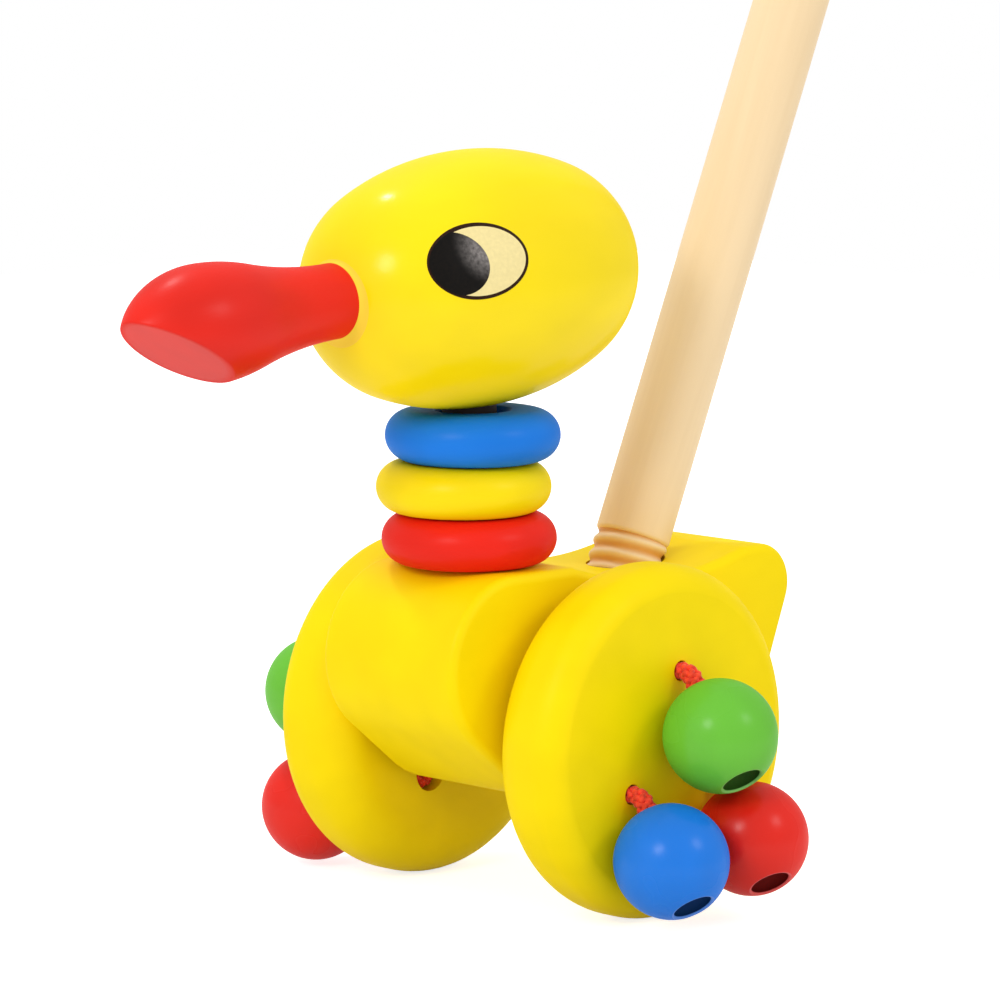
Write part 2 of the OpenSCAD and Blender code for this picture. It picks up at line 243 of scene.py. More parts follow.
class BeakSettings(PropertyGroup):
    """Turned beak with its flat cut"""

    root_r: length("Root radius", "Radius where the beak leaves the head", 8.1)
    lift: length("Lift", "Height of the beak's axis above the head's axis", 0.5)
    socket: length("Socket", "Depth of the beak's socket in the head", 14)
    reach: length("Beak length", "Length of the beak in front of the head", 57.8)
    bulb_r: length("Bulb radius", "Largest radius of the beak's bulb", 12.8)
    bulb_back: length("Bulb place", "Distance of the widest place from the tip", 20.8)
    tip_r: length("Tip radius", "Radius of the bulb's tip", 5.5)
    swell: number("Swell", "Share of the curve behind the bulb that swells outwards", 0.36)
    cut_angle: angle("Cut slope", "Slope of the flat cut under the tip", 34)
    cut_rise: length(
        "Cut height", "Height of the cut's front edge above the beak's axis, at the tip", 3.8
    )
    cut_turn: angle(
        "Cut turn", "Turn of the flat cut about the beak's axis, to the duck's left", 8.5
    )
    cut_round: length("Cut rounding", "Rounding of the cut's edge", 0.5)
    seam_h: length("Seam height", "Height of the paint that pooled round the beak's root", 0.8)
    seam_w: length("Seam width", "Middle width of that paint on the head", 1.4)
    seam_sag: length("Seam sag", "Width that it gains below and loses above", 0.7)


class StickSettings(PropertyGroup):
    """Push stick with its wooden thread and its knob"""

    lean: angle("Lean", "Backward lean of the stick", 24.2)
    stick_r: length("Stick radius", "Radius of the stick", 8.5)
    behind: length("Place", "Place of the stick behind the axle, where it meets the back", 31)
    plain_l: length("Stick length", "Length of the plain stick above the thread", 420)
    thread_show: length("Thread showing", "Length of thread that shows above the back", 5.5)
    thread_in: length("Thread in the body", "Length of thread in the body", 23.8)
    thread_inset: length("Thread inset", "Depth of the ridges below the plain stick", 0.1)
    thread_pitch: length("Thread pitch", "Pitch of the thread", 3.5)
    thread_depth: length("Thread depth", "Depth of the thread's grooves", 0.8)
    thread_room: length("Thread room", "Radial room of the thread in its socket", 0.05)
    shoulder: length("Shoulder rounding", "Rounding of the plain stick's lower edge", 1.0)
    knob_r: length("Knob radius", "Radius of the knob on the stick's end", 17)
    knob_socket: length("Knob socket", "Depth of the stick's socket in the knob", 18)


class BeadSettings(PropertyGroup):
    """Bores of the ball beads"""

    bore_r: length("Cord bore radius", "Radius of the bore that holds the cord", 2.45)
    wide_r: length("Wide bore radius", "Radius of the bore that holds the knot", 4.3)
    lip: length("Lip", "Rounding at a bore's mouth", 0.5)


class CordSettings(PropertyGroup):
    """Braided cords and their knots"""

    cord_r: length("Cord radius", "Outer radius of the braided cord", 2.3)
    bend_r: length("Bend radius", "Radius of the cord's bend at the wheel's face", 3)
    end_gap: length("Knot gap", "Gap between a knot and the shoulder that it pulls on", 0.3)
    knot_l: length("Knot length", "Length of a knot", 5.6)
    knot_turns: number("Knot turns", "Turns that the cord's end takes round a knot", 1.6)
    nip: number("Nip", "Share of its width that the cord keeps in the wheel", 0.9)
    squeeze: number("Squeeze", "Share of its width that the cord keeps in a knot", 0.62)
    strands: IntProperty(
        name="Strands", description="Strands of the braid in each direction", default=4
    )
    pitch: length("Braid pitch", "Length of one turn of a strand", 7.6)


class PaintSettings(PropertyGroup):
    """Colours of the toy"""

    yellow: paint("Yellow", "Lacquer of the body, wheels, head and middle ring", "#FBDE00")
    red: paint("Red", "Lacquer of the beak, lowest ring and red beads", "#E62110")
    blue: paint("Blue", "Lacquer of the top ring and blue beads", "#1479E1")
    green: paint("Green", "Lacquer of the green beads", "#6AC036")
    wood: paint("Plain wood", "Varnished wood of the stick and knob", "#F2D7AC")
    # The dowel's dark colour is painted shade for the gap under the head
    dowel: paint("Dowel", "Dark stained neck dowel", "#26140B")
    wood_dark: paint("Wood grain", "Late wood of the stick's grain", "#ECD0A4")
    # The thread colour is painted shade in the thread's grooves
    thread: paint("Thread", "Cut wood in the grooves of the stick's thread", "#DA9C4C")
    seam: paint("Seam", "Paint that pooled round the beak's root", "#FAD640")
    # The pupil's shine is a painted reflection of a lamp
    shine: paint("Shine", "Printed shine of the pupil", "#8A8481")
    cord: paint("Cord", "Braided cord", "#FF452A")
    eye_white: paint("Eye", "Printed ground of the eye", "#EEDC9C")
    ink: paint("Ink", "Printed pupil", "#0C0805")
    outline: paint("Outline", "Printed outline of the eye", "#2A1408")


class StageSettings(PropertyGroup):
    """Camera, floor and lamps"""

    azimuth: angle("Azimuth", "Direction of the camera round the toy", 133.92)
    elevation: angle("Elevation", "Height of the camera above the horizon", 8.04)
    distance: length("Distance", "Distance of the camera from its target", 1099.6)
    target: lengths("Target", "Point that the camera looks at", -0.2, -9.7, 87.5)
    lens: number("Lens", "Focal length on a 36 mm sensor, in millimetres", 177.38)


class DuckSettings(PropertyGroup):
    """All settings of the toy"""

    body: PointerProperty(type=BodySettings)
    wheel: PointerProperty(type=WheelSettings)
    neck: PointerProperty(type=NeckSettings)
    head: PointerProperty(type=HeadSettings)
    beak: PointerProperty(type=BeakSettings)
    stick: PointerProperty(type=StickSettings)
    bead: PointerProperty(type=BeadSettings)
    cord: PointerProperty(type=CordSettings)
    paint: PointerProperty(type=PaintSettings)
    stage: PointerProperty(type=StageSettings)


# Node trees

def add_node(tree, kind, inputs=None, **settings):
    """Adds one node with its settings; an input is a value, an output, or a node's first output."""
    node = tree.nodes.new(kind)
    for name, value in settings.items():
        setattr(node, name, value)
    for key, value in (inputs or {}).items():
        if isinstance(value, bpy.types.Node):
            value = value.outputs[0]
        if isinstance(value, bpy.types.NodeSocket):
            tree.links.new(value, node.inputs[key])
        else:
            node.inputs[key].default_value = value
    return node


def linear(hex_colour):
    """Linear RGBA of an sRGB hex value."""
    channels = [int(hex_colour[i : i + 2], 16) / 255 for i in (1, 3, 5)]
    return [c / 12.92 if c <= 0.04045 else ((c + 0.055) / 1.055) ** 2.4 for c in channels] + [1.0]


def shaded(colour, factor):
    """A linear colour, lighter or darker by a factor."""
    return [min(1.0, c * factor) for c in colour[:3]] + [1.0]


def new_material(name):
    """An empty node material and its tree."""
    material = bpy.data.materials.new(name)
    material.use_nodes = True
    material.node_tree.nodes.clear()
    return material, material.node_tree


def finish_material(tree, shader):
    """Links a shader to the material's output."""
    add_node(tree, "ShaderNodeOutputMaterial", {"Surface": shader})


def set_stops(tone, *stops):
    """Sets the places and colours of a colour ramp's stops."""
    for stop, (place, colour) in zip(tone.color_ramp.elements, stops):
        stop.position = place
        stop.color = colour


def grain_space(tree, turn, across, along):
    """Object coordinates with Z turned along the grain, in units of its width and length."""
    place = add_node(tree, "ShaderNodeTexCoord").outputs["Object"]
    turned = add_node(tree, "ShaderNodeMapping", {"Vector": place, "Rotation": turn})
    scale = (1 / across, 1 / across, 1 / along)
    return add_node(tree, "ShaderNodeMapping", {"Vector": turned, "Scale": scale})


def new_group(name, sizes):
    """A geometry node group with named inputs, and those inputs."""
    tree = bpy.data.node_groups.new(name, "GeometryNodeTree")
    for socket, kind in {"Geometry": "Geometry", **sizes, "Material": "Material"}.items():
        tree.interface.new_socket(socket, in_out="INPUT", socket_type="NodeSocket" + kind)
    tree.interface.new_socket("Geometry", in_out="OUTPUT", socket_type="NodeSocketGeometry")
    return tree, add_node(tree, "NodeGroupInput").outputs


def finish_group(tree, material, *parts):
    """Joins the parts of a geometry node group into one plain mesh of one material."""
    both = add_node(tree, "GeometryNodeJoinGeometry")
    for part in parts:
        tree.links.new(part, both.inputs[0])
    whole = add_node(tree, "GeometryNodeRealizeInstances", {"Geometry": both})
    finished = add_node(
        tree, "GeometryNodeSetMaterial", {"Geometry": whole, "Material": material}
    )
    add_node(tree, "NodeGroupOutput", {"Geometry": finished})


# Materials

# Turns of a pattern that lay its grain along an axis
GRAIN_X = (0, -QUARTER_TURN, 0)
GRAIN_Y = (QUARTER_TURN, 0, 0)
GRAIN_Z = (0, 0, 0)

# Lacquer films: roughness, weight, and the share of its colour that is left where it lies thickest
SATIN_FILM = (0.4, 0.03, 0.94)
HEAD_FILM = (0.21, 0.1, 0.94)
RING_FILM = (0.34, 0.07, 0.9)
BEAD_FILM = (0.27, 0.12, 0.9)
BEAK_FILM = (0.34, 0.1, 0.84)
FILM_ROUGHNESS_DRIFT = 0.05

# Patterns in lacquered wood: width, length and detail
PORES = (0.7 * MM, 9 * MM, 3.0)
ORANGE_PEEL = (2.2 * MM, 2.8 * MM, 2.0)
POOLING = (16 * MM, 34 * MM, 2.0)
PEEL_TO_PORES = 1.5

# Share of the lacquer's colour left in a bore's painted shade, and of white in the painted highlight on a lip or
# the painted sheen on the beak's cut
BORE_PAINTED_SHADE = 0.12
HIGHLIGHT_WHITE = 0.4

# Widths and lengths of birch's streaks and fibres, and the fibres' share of its tone
STREAKS = (9 * MM, 90 * MM)
FIBRES = (0.8 * MM, 40 * MM)
FIBRE_SHARE = 0.22

# Widths of the cord's filaments and plies, and the plies' share of its surface
FILAMENT = 0.5 * MM
PLY = 0.7 * MM
PLY_SHARE = 0.25

# Width of the speckle that the printing mesh leaves
SPECKLE = 0.8 * MM


# Dip-lacquered beech: a satin film that pools a little, so its colour and gloss drift slowly over
# a few centimetres, while the wood's short pores and the film's orange peel break up its
# highlights. Drilled bores get painted shade, a dark colour without the film; their lips get a
# painted highlight and the beak's cut a painted sheen, both a colour mixed towards white.
def lacquered_beech(name, hex_colour, turn, film=SATIN_FILM):
    roughness, weight, deep = film
    material, tree = new_material(name)
    colour = linear(hex_colour)
    pores, peel, drift = [
        add_node(
            tree,
            "ShaderNodeTexNoise",
            {"Vector": grain_space(tree, turn, across, along), "Scale": 1.0, "Detail": detail},
        )
        for across, along, detail in (PORES, ORANGE_PEEL, POOLING)
    ]
    tone = add_node(tree, "ShaderNodeValToRGB", {"Fac": drift})
    tone.color_ramp.interpolation = "EASE"
    set_stops(tone, (0.2, shaded(colour, deep)), (0.8, shaded(colour, 1.03)))
    bore, lip = [
        add_node(tree, "ShaderNodeAttribute", attribute_name=mark).outputs["Fac"]
        for mark in ("bore", "lip")
    ]
    # Painted shade in a bore: the lacquer's colour darkened to a small share of itself
    bore_shade_colour = shaded(colour, BORE_PAINTED_SHADE)
    tone_with_bore_shade = add_node(tree, "ShaderNodeMix", {0: bore, 6: tone, 7: bore_shade_colour}, data_type="RGBA")
    # Painted highlight on a bore's lip and painted sheen on the beak's cut: the colour mixed towards white
    highlight_colour = [(1 - HIGHLIGHT_WHITE) * c + HIGHLIGHT_WHITE for c in colour]
    tone_with_highlight = add_node(
        tree, "ShaderNodeMix", {0: lip, 6: tone_with_bore_shade.outputs[2], 7: highlight_colour}, data_type="RGBA"
    )
    cover = add_node(tree, "ShaderNodeMapRange", {"Value": bore, "To Min": weight, "To Max": 0.0})
    gloss = add_node(
        tree,
        "ShaderNodeMapRange",
        {
            "Value": drift,
            "To Min": roughness - FILM_ROUGHNESS_DRIFT,
            "To Max": roughness + FILM_ROUGHNESS_DRIFT,
        },
    )
    surface = add_node(
        tree, "ShaderNodeMath", {0: peel, 1: PEEL_TO_PORES, 2: pores}, operation="MULTIPLY_ADD"
    )
    dents = add_node(
        tree, "ShaderNodeBump", {"Height": surface, "Strength": 0.6, "Distance": 0.03 * MM}
    )
    shader = add_node(
        tree,
        "ShaderNodeBsdfPrincipled",
        {
            "Base Color": tone_with_highlight.outputs[2],
            "Roughness": 0.6,
            "Specular IOR Level": 0.05,
            "Normal": dents,
            "Coat Weight": cover,
            "Coat Roughness": gloss,
            "Coat IOR": 2.2,
            "Coat Normal": dents,
        },
    )
    finish_material(tree, shader)
    return material


# Varnished birch dowel: pale, close-grained wood with long soft streaks along the stick and
# a matt clear varnish that fills its pores; the thread's grooves get painted shade, a darker, more orange colour.
def varnished_birch(name, plain, late, cut, turn):
    material, tree = new_material(name)
    streaks = add_node(
        tree,
        "ShaderNodeTexNoise",
        {
            "Vector": grain_space(tree, turn, *STREAKS),
            "Scale": 1.0,
            "Detail": 2.0,
            "Distortion": 0.8,
        },
    )
    fibres = add_node(
        tree,
        "ShaderNodeTexNoise",
        {"Vector": grain_space(tree, turn, *FIBRES), "Scale": 1.0, "Detail": 3.0},
    )
    blend = add_node(
        tree, "ShaderNodeMix", {0: FIBRE_SHARE, 2: streaks, 3: fibres}, data_type="FLOAT"
    )
    tone = add_node(tree, "ShaderNodeValToRGB", {"Fac": blend})
    set_stops(tone, (0.3, linear(late)), (0.6, linear(plain)))
    # Painted shade in the thread's grooves, deepest at their bottoms
    groove = add_node(tree, "ShaderNodeAttribute", attribute_name="groove").outputs["Fac"]
    wood = add_node(tree, "ShaderNodeMix", {0: groove, 6: tone, 7: linear(cut)}, data_type="RGBA")
    dents = add_node(
        tree, "ShaderNodeBump", {"Height": fibres, "Strength": 0.3, "Distance": 0.03 * MM}
    )
    shader = add_node(
        tree,
        "ShaderNodeBsdfPrincipled",
        {
            "Base Color": wood.outputs[2],
            "Roughness": 0.5,
            "Specular IOR Level": 0.25,
            "Normal": dents,
        },
    )
    finish_material(tree, shader)
    return material


# Braided polyester cord: along each strand its colour goes lighter and darker with the twist of its
# plies and the noise of its filaments, the braid's own pattern with painted highlights on the
# filaments and painted shade between them; the filaments are drawn coarser than real ones so that they show.
def polyester_braid(name, hex_colour):
    material, tree = new_material(name)
    colour = linear(hex_colour)
    along, strand = [
        add_node(tree, "ShaderNodeAttribute", attribute_name=mark).outputs["Fac"]
        for mark in ("along", "strand")
    ]
    place = add_node(tree, "ShaderNodeTexCoord").outputs["Object"]
    filaments = add_node(
        tree,
        "ShaderNodeTexNoise",
        {"Vector": place, "Scale": 1 / FILAMENT, "Detail": 3.0, "W": strand},
        noise_dimensions="4D",
    )
    twist = add_node(tree, "ShaderNodeMath", {0: along, 1: FULL_TURN / PLY}, operation="MULTIPLY")
    plies = add_node(tree, "ShaderNodeMath", {0: twist}, operation="SINE")
    height = add_node(
        tree, "ShaderNodeMath", {0: plies, 1: PLY_SHARE, 2: filaments}, operation="MULTIPLY_ADD"
    )
    # Lighter parts are painted highlight and darker parts painted shade, laid on the braid's own pattern
    tone = add_node(tree, "ShaderNodeValToRGB", {"Fac": height})
    set_stops(tone, (0.25, shaded(colour, 0.72)), (0.75, shaded(colour, 1.15)))
    dents = add_node(
        tree, "ShaderNodeBump", {"Height": height, "Strength": 0.5, "Distance": 0.08 * MM}
    )
    shader = add_node(
        tree,
        "ShaderNodeBsdfPrincipled",
        {
            "Base Color": tone,
            "Roughness": 0.55,
            "Specular IOR Level": 0.2,
            "Normal": dents,
            "Sheen Weight": 0.25,
            "Sheen Roughness": 0.4,
        },
    )
    finish_material(tree, shader)
    return material


# Screen-printed ink: a thin satin film with a fine uneven speckle from the mesh; on the pupil a
# painted reflection of a lamp is drawn as grey dots that thin out towards its edge.
def printed_ink(name, hex_colour, speckle, reflection_hex):
    material, tree = new_material(name)
    colour = linear(hex_colour)
    place = add_node(tree, "ShaderNodeTexCoord").outputs["Object"]
    dots = add_node(
        tree, "ShaderNodeTexNoise", {"Vector": place, "Scale": 1 / SPECKLE, "Detail": 4.0}
    )
    tone = add_node(tree, "ShaderNodeValToRGB", {"Fac": dots})
    set_stops(tone, (0.35, shaded(colour, 1 - speckle)), (0.7, shaded(colour, 1 + speckle)))
    # Painted reflection on the pupil: grey dots where the mark is strong
    shine = add_node(tree, "ShaderNodeAttribute", attribute_name="shine").outputs["Fac"]
    spread = add_node(
        tree,
        "ShaderNodeMapRange",
        {"Value": dots, "From Min": 0.3, "From Max": 0.7, "To Min": 0.4, "To Max": 1.2},
    )
    share = add_node(
        tree, "ShaderNodeMath", {0: shine, 1: spread}, operation="MULTIPLY", use_clamp=True
    )
    reflection_grey = linear(reflection_hex)
    ink = add_node(tree, "ShaderNodeMix", {0: share, 6: tone, 7: reflection_grey}, data_type="RGBA")
    gloss = add_node(tree, "ShaderNodeMapRange", {"Value": dots, "To Min": 0.4, "To Max": 0.6})
    shader = add_node(
        tree,
        "ShaderNodeBsdfPrincipled",
        {"Base Color": ink.outputs[2], "Roughness": gloss, "Specular IOR Level": 0.1},
    )
    finish_material(tree, shader)
    return material


def showing_ray(tree):
    """1 for rays that show the background to the viewer, straight or by way of gloss or glass."""
    rays = add_node(tree, "ShaderNodeLightPath").outputs
    seen = rays["Is Camera Ray"]
    for ray in ("Is Glossy Ray", "Is Transmission Ray"):
        seen = add_node(tree, "ShaderNodeMath", {0: seen, 1: rays[ray]}, operation="MAXIMUM")
    return seen


# Seamless white paper: a matt floor that the camera sees as white, while the toy's shadow still
# darkens it.
def white_paper(name, glow):
    material, tree = new_material(name)
    strength = add_node(
        tree, "ShaderNodeMath", {0: showing_ray(tree), 1: glow}, operation="MULTIPLY"
    )
    paper = add_node(tree, "ShaderNodeBsdfDiffuse", {"Color": (0.8, 0.8, 0.8, 1)})
    lift = add_node(tree, "ShaderNodeEmission", {"Strength": strength})
    both = add_node(tree, "ShaderNodeAddShader", {0: paper, 1: lift})
    finish_material(tree, both)
    return material


# Mesh helpers

def arc(centre, radius, start, end, steps):
    """Points on a circle from one angle to another, in radians, both ends included."""
    return [
        Vector((centre[0] + radius * math.cos(a), centre[1] + radius * math.sin(a)))
        for a in (start + (end - start) * i / steps for i in range(steps + 1))
    ]


def circle(count):
    """Angles of points that stand evenly round a circle."""
    return [FULL_TURN * k / count for k in range(count)]


def skin(form, rings, closed=False):
    """Faces between neighbouring rings of points; a ring of one repeated point is a pole."""
    pairs = list(zip(rings, rings[1:]))
    if closed:
        pairs.append((rings[-1], rings[0]))
    for low, high in pairs:
        for k in range(len(low)):
            n = (k + 1) % len(low)
            form.faces.new(list(dict.fromkeys((low[k], low[n], high[n], high[k]))))


def turned_mesh(name, profile, segments, closed=False):
    """A mesh turned about Z from points (radius, height); points on the axis become poles."""
    form = bmesh.new()
    rings = []
    for radius, height in profile:
        if radius < ON_AXIS:
            ring = [form.verts.new((0, 0, height))] * segments
        else:
            ring = [
                form.verts.new((radius * math.cos(a), radius * math.sin(a), height))
                for a in circle(segments)
            ]
        rings.append(ring)
    skin(form, rings, closed)
    return bake(form, name)


def rod(name, radius, low, high, segments=BORE_ROUND):
    """A plain rod about Z that cuts a bore."""
    return turned_mesh(name, [(0, low), (radius, low), (radius, high), (0, high)], segments)


def bake(form, name, closed=True):
    """Turns a bmesh into a smooth mesh with its sharp edges; a closed one is turned outwards."""
    if closed:
        bmesh.ops.recalc_face_normals(form, faces=form.faces)
    mesh = bpy.data.meshes.new(name)
    form.to_mesh(mesh)
    form.free()
    soften(mesh)
    return mesh


def soften(mesh):
    """Smooth shading, apart from sharp edges."""
    mesh.shade_smooth()
    mesh.set_sharp_from_angle(angle=SHARP)


def dress(mesh, material):
    """Gives a whole mesh one finished material."""
    mesh.materials.clear()
    mesh.materials.append(material)


def add_object(name, data):
    """A new object in the scene."""
    thing = bpy.data.objects.new(name, data)
    bpy.context.scene.collection.objects.link(thing)
    return thing


def evaluated_mesh(thing):
    """A plain mesh of an object as its modifiers leave it."""
    graph = bpy.context.evaluated_depsgraph_get()
    return bpy.data.meshes.new_from_object(thing.evaluated_get(graph), depsgraph=graph)


def place_piece(name, mesh, material, matrix=None):
    """An object at the origin whose mesh lies in place."""
    if matrix is not None:
        mesh.transform(matrix)
        if matrix.determinant() < 0:
            mesh.flip_normals()
    mesh.name = name
    dress(mesh, material)
    return add_object(name, mesh)


def stand_for(piece, node):
    """Lets a piece take a node's place and body, and hides the node."""
    bodies = frame["record"]["behaviour"]["bodies"]
    body = next(name for name, nodes in bodies.items() if node in nodes)
    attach(piece, body)
    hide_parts(node)


def cut_out(mesh, cutters):
    """A copy of a mesh with the cutters' meshes taken away."""
    solid = add_object("solid", mesh)
    tools = []
    for i, cutter in enumerate(cutters):
        tools.append(add_object(f"cutter_{i}", cutter))
        cut = solid.modifiers.new(f"cut_{i}", "BOOLEAN")
        cut.operation = "DIFFERENCE"
        cut.solver = "EXACT"
        cut.object = tools[-1]
    result = evaluated_mesh(solid)
    for thing in [solid, *tools]:
        bpy.data.objects.remove(thing)
    soften(result)
    return result


def grow(name, mesh, tree, values):
    """Runs geometry nodes on a mesh and gives back the result as a plain mesh."""
    base = add_object(name, mesh)
    modifier = base.modifiers.new(tree.name, "NODES")
    modifier.node_group = tree
    for item in tree.interface.items_tree:
        if item.item_type == "SOCKET" and item.in_out == "INPUT" and item.name in values:
            modifier[item.identifier] = values[item.name]
    result = evaluated_mesh(base)
    base.modifiers.remove(modifier)
    bpy.data.objects.remove(base)
    return result


def frame_to(place, direction, side=AXIS_Y):
    """A matrix that puts Z along a direction and the origin at a place."""
    z = direction.normalized()
    x = side.cross(z).normalized()
    y = z.cross(x)
    return Matrix.Translation(place) @ Matrix((x, y, z)).transposed().to_4x4()


# Body

OUTLINE_STEPS = 36
SADDLE_STEPS = 60
EDGE_STEPS = 6


def tangent_normal(a, b):
    """Outward normal of the line that touches two circles from outside."""
    step = Vector((b[0] - a[0], b[1] - a[1]))
    u = step.normalized()
    k = (a[2] - b[2]) / step.length
    return u * k + Vector((u.y, -u.x)) * math.sqrt(1 - k * k)


def line_meets_circle(start, end, centre, radius):
    """The two places where a line crosses a circle, nearest the line's start first."""
    along = (end - start).normalized()
    middle = (centre - start).dot(along)
    gap = (start + along * middle - centre).length
    half = math.sqrt(radius * radius - gap * gap)
    return start + along * (middle - half), start + along * (middle + half)


def body_outline(settings, inset):
    """The body's side outline, drawn in by an inset: X forward, Y up, from the axle."""
    circles = [settings.chest, settings.tail, settings.rear_belly, settings.front_belly]
    circles = [Vector((c[0], c[1], c[2] - inset)) for c in circles]
    count = len(circles)
    normals = [tangent_normal(circles[i], circles[(i + 1) % count]) for i in range(count)]
    turns = [math.atan2(n.y, n.x) for n in normals]
    saddle = Vector(settings.saddle[:2])
    saddle_r = settings.saddle[2] + inset
    points = []
    for i, c in enumerate(circles):
        start, end = turns[i - 1], turns[i]
        if end < start:
            end += FULL_TURN
        points += arc(c, c.z, start, end, OUTLINE_STEPS)
        if i == 0:
            tail = circles[1]
            run_end = tail.xy + normals[0] * tail.z
            first, second = line_meets_circle(points[-1], run_end, saddle, saddle_r)
            a, b = first - saddle, second - saddle
            start, end = math.atan2(a.y, a.x), math.atan2(b.y, b.x)
            points += arc(saddle, saddle_r, start, end, SADDLE_STEPS)
    return points


def plank_mesh(settings):
    """The plank body with soft edges, before its bores."""
    edge = settings.edge_round
    half = BODY_T / 2
    layers = [(edge + FACE_HOLD, half)]
    layers += [
        (edge * (1 - math.cos(a)), half - edge * (1 - math.sin(a)))
        for a in (QUARTER_TURN * (1 - i / EDGE_STEPS) for i in range(EDGE_STEPS + 1))
    ]
    layers += [(inset, -y) for inset, y in reversed(layers)]
    form = bmesh.new()
    rings = [
        [form.verts.new((AXLE.x + p.x, y, AXLE.z + p.y)) for p in body_outline(settings, inset)]
        for inset, y in layers
    ]
    skin(form, rings)
    form.faces.new(rings[0])
    form.faces.new(reversed(rings[-1]))
    return bake(form, "plank")


def stick_frame(settings, body):
    """The stick's own frame: its origin on the back, Z up the stick."""
    centre = Vector(body.saddle[:2])
    x = -settings.behind
    height = centre.y - math.sqrt(body.saddle[2] ** 2 - (x - centre.x) ** 2)
    axis = Vector((-math.sin(settings.lean), 0, math.cos(settings.lean)))
    return frame_to(AXLE + Vector((x, 0, height)), axis)


class DUCK_OT_body(Operator):
    """Builds the plank body with its soft edges and bores"""

    bl_idname = "duck.body"
    bl_label = "Body"

    def execute(self, context):
        duck = context.scene.duck
        stick = duck.stick
        bore = rod("axle_bore", AXLE_R + duck.body.bore_room, -BODY_T, BODY_T)
        bore.transform(frame_to(AXLE, AXIS_Y, AXIS_X))
        socket = rod("dowel_socket", DOWEL_R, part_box("neck_dowel")[0].z, RING_TOP)
        socket.transform(Matrix.Translation(NECK))
        hole_r = stick.stick_r - stick.thread_inset + stick.thread_room
        depth = stick.thread_in
        hole = rod("stick_socket", hole_r, -depth, depth, STICK_ROUND)
        hole.transform(stick_frame(stick, duck.body))
        mesh = cut_out(plank_mesh(duck.body), [bore, socket, hole])
        lacquer = lacquered_beech("Yellow lacquer, body", duck.paint.yellow, GRAIN_X)
        stand_for(place_piece("plank_body", mesh, lacquer), "body")
        return {"FINISHED"}


# Wheels and axle

RIM_STEPS = 14
CUTTER_OVER = 1 * MM
WHEEL_GRAIN = math.radians(35)


def wheel_profile(settings):
    """Half section of a wheel: radius, and height from the inner face."""
    in_r = settings.round_in
    inner = arc((WHEEL_R - in_r, in_r), in_r, -QUARTER_TURN, 0, RIM_STEPS)
    out_r = settings.round_out / (1 - math.sin(settings.crease))
    out_z = WHEEL_T - out_r * math.cos(settings.crease)
    outer = arc((WHEEL_R - out_r, out_z), out_r, 0, QUARTER_TURN - settings.crease, RIM_STEPS)
    points = [(0, 0), (inner[0].x - FACE_HOLD, 0), *map(tuple, inner), *map(tuple, outer)]
    return points + [(outer[-1].x - FACE_HOLD, WHEEL_T), (0, WHEEL_T)]


def cord_hole_profile(settings):
    """Half section of a cord hole with its chamfer and knot pocket, from the inner face up."""
    over = CUTTER_OVER
    r = settings.hole_r
    c = settings.hole_chamfer
    return [
        (0, -over),
        (settings.pocket_r, -over),
        (settings.pocket_r, settings.pocket_depth),
        (r, settings.pocket_depth),
        (r, WHEEL_T - c),
        (r + c + over, WHEEL_T + over),
        (0, WHEEL_T + over),
    ]


class DUCK_OT_wheels(Operator):
    """Builds both wheels with their cord holes, and finishes the axle"""

    bl_idname = "duck.wheels"
    bl_label = "Wheels and axle"

    def execute(self, context):
        duck = context.scene.duck
        inner_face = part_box("wheel_left")[0].y
        for side, sign in SIDES.items():
            out = Vector((0, sign, 0))
            wheel = turned_mesh("wheel", wheel_profile(duck.wheel), LARGE_ROUND)
            wheel.transform(frame_to(AXLE + out * inner_face, out, AXIS_X))
            holes = []
            for colour in BEAD_COLOURS:
                mouth = joint_place(f"{side}_{colour}_swing")
                hole = turned_mesh("cord_hole", cord_hole_profile(duck.wheel), CORD_HOLE_ROUND)
                hole.transform(frame_to(mouth - out * WHEEL_T, out, AXIS_X))
                holes.append(hole)
            mesh = cut_out(wheel, holes)
            grain = (QUARTER_TURN, WHEEL_GRAIN * sign, 0)
            lacquer = lacquered_beech(f"Yellow lacquer, {side} wheel", duck.paint.yellow, grain)
            piece = place_piece(f"{side}_wheel", mesh, lacquer)
            stand_for(piece, f"wheel_{side}")
        wood = (duck.paint.wood, duck.paint.wood_dark, duck.paint.thread)
        birch = varnished_birch("Varnished birch, axle", *wood, GRAIN_Y)
        dress(frame["nodes"]["axle"].data, birch)
        return {"FINISHED"}


# Neck

RING_STEPS = 28
RING_BORE_STEPS = 5
RING_GRAIN = math.radians(40)


def ring_profile(settings):
    """Closed half section of a neck ring about its middle plane."""
    half = RING_T / 2
    b = settings.bore_round
    x = settings.bore_r + b
    rim = arc((RING_R - half, 0), half, -QUARTER_TURN, QUARTER_TURN, RING_STEPS)
    top = arc((x, half - b), b, QUARTER_TURN, 2 * QUARTER_TURN, RING_BORE_STEPS)
    bottom = arc((x, b - half), b, 2 * QUARTER_TURN, 3 * QUARTER_TURN, RING_BORE_STEPS)
    upper = Vector((rim[-1].x - RING_HOLD, half))
    lower = Vector((rim[0].x - RING_HOLD, -half))
    return [tuple(p) for p in (*rim, upper, *top, *bottom, lower)]


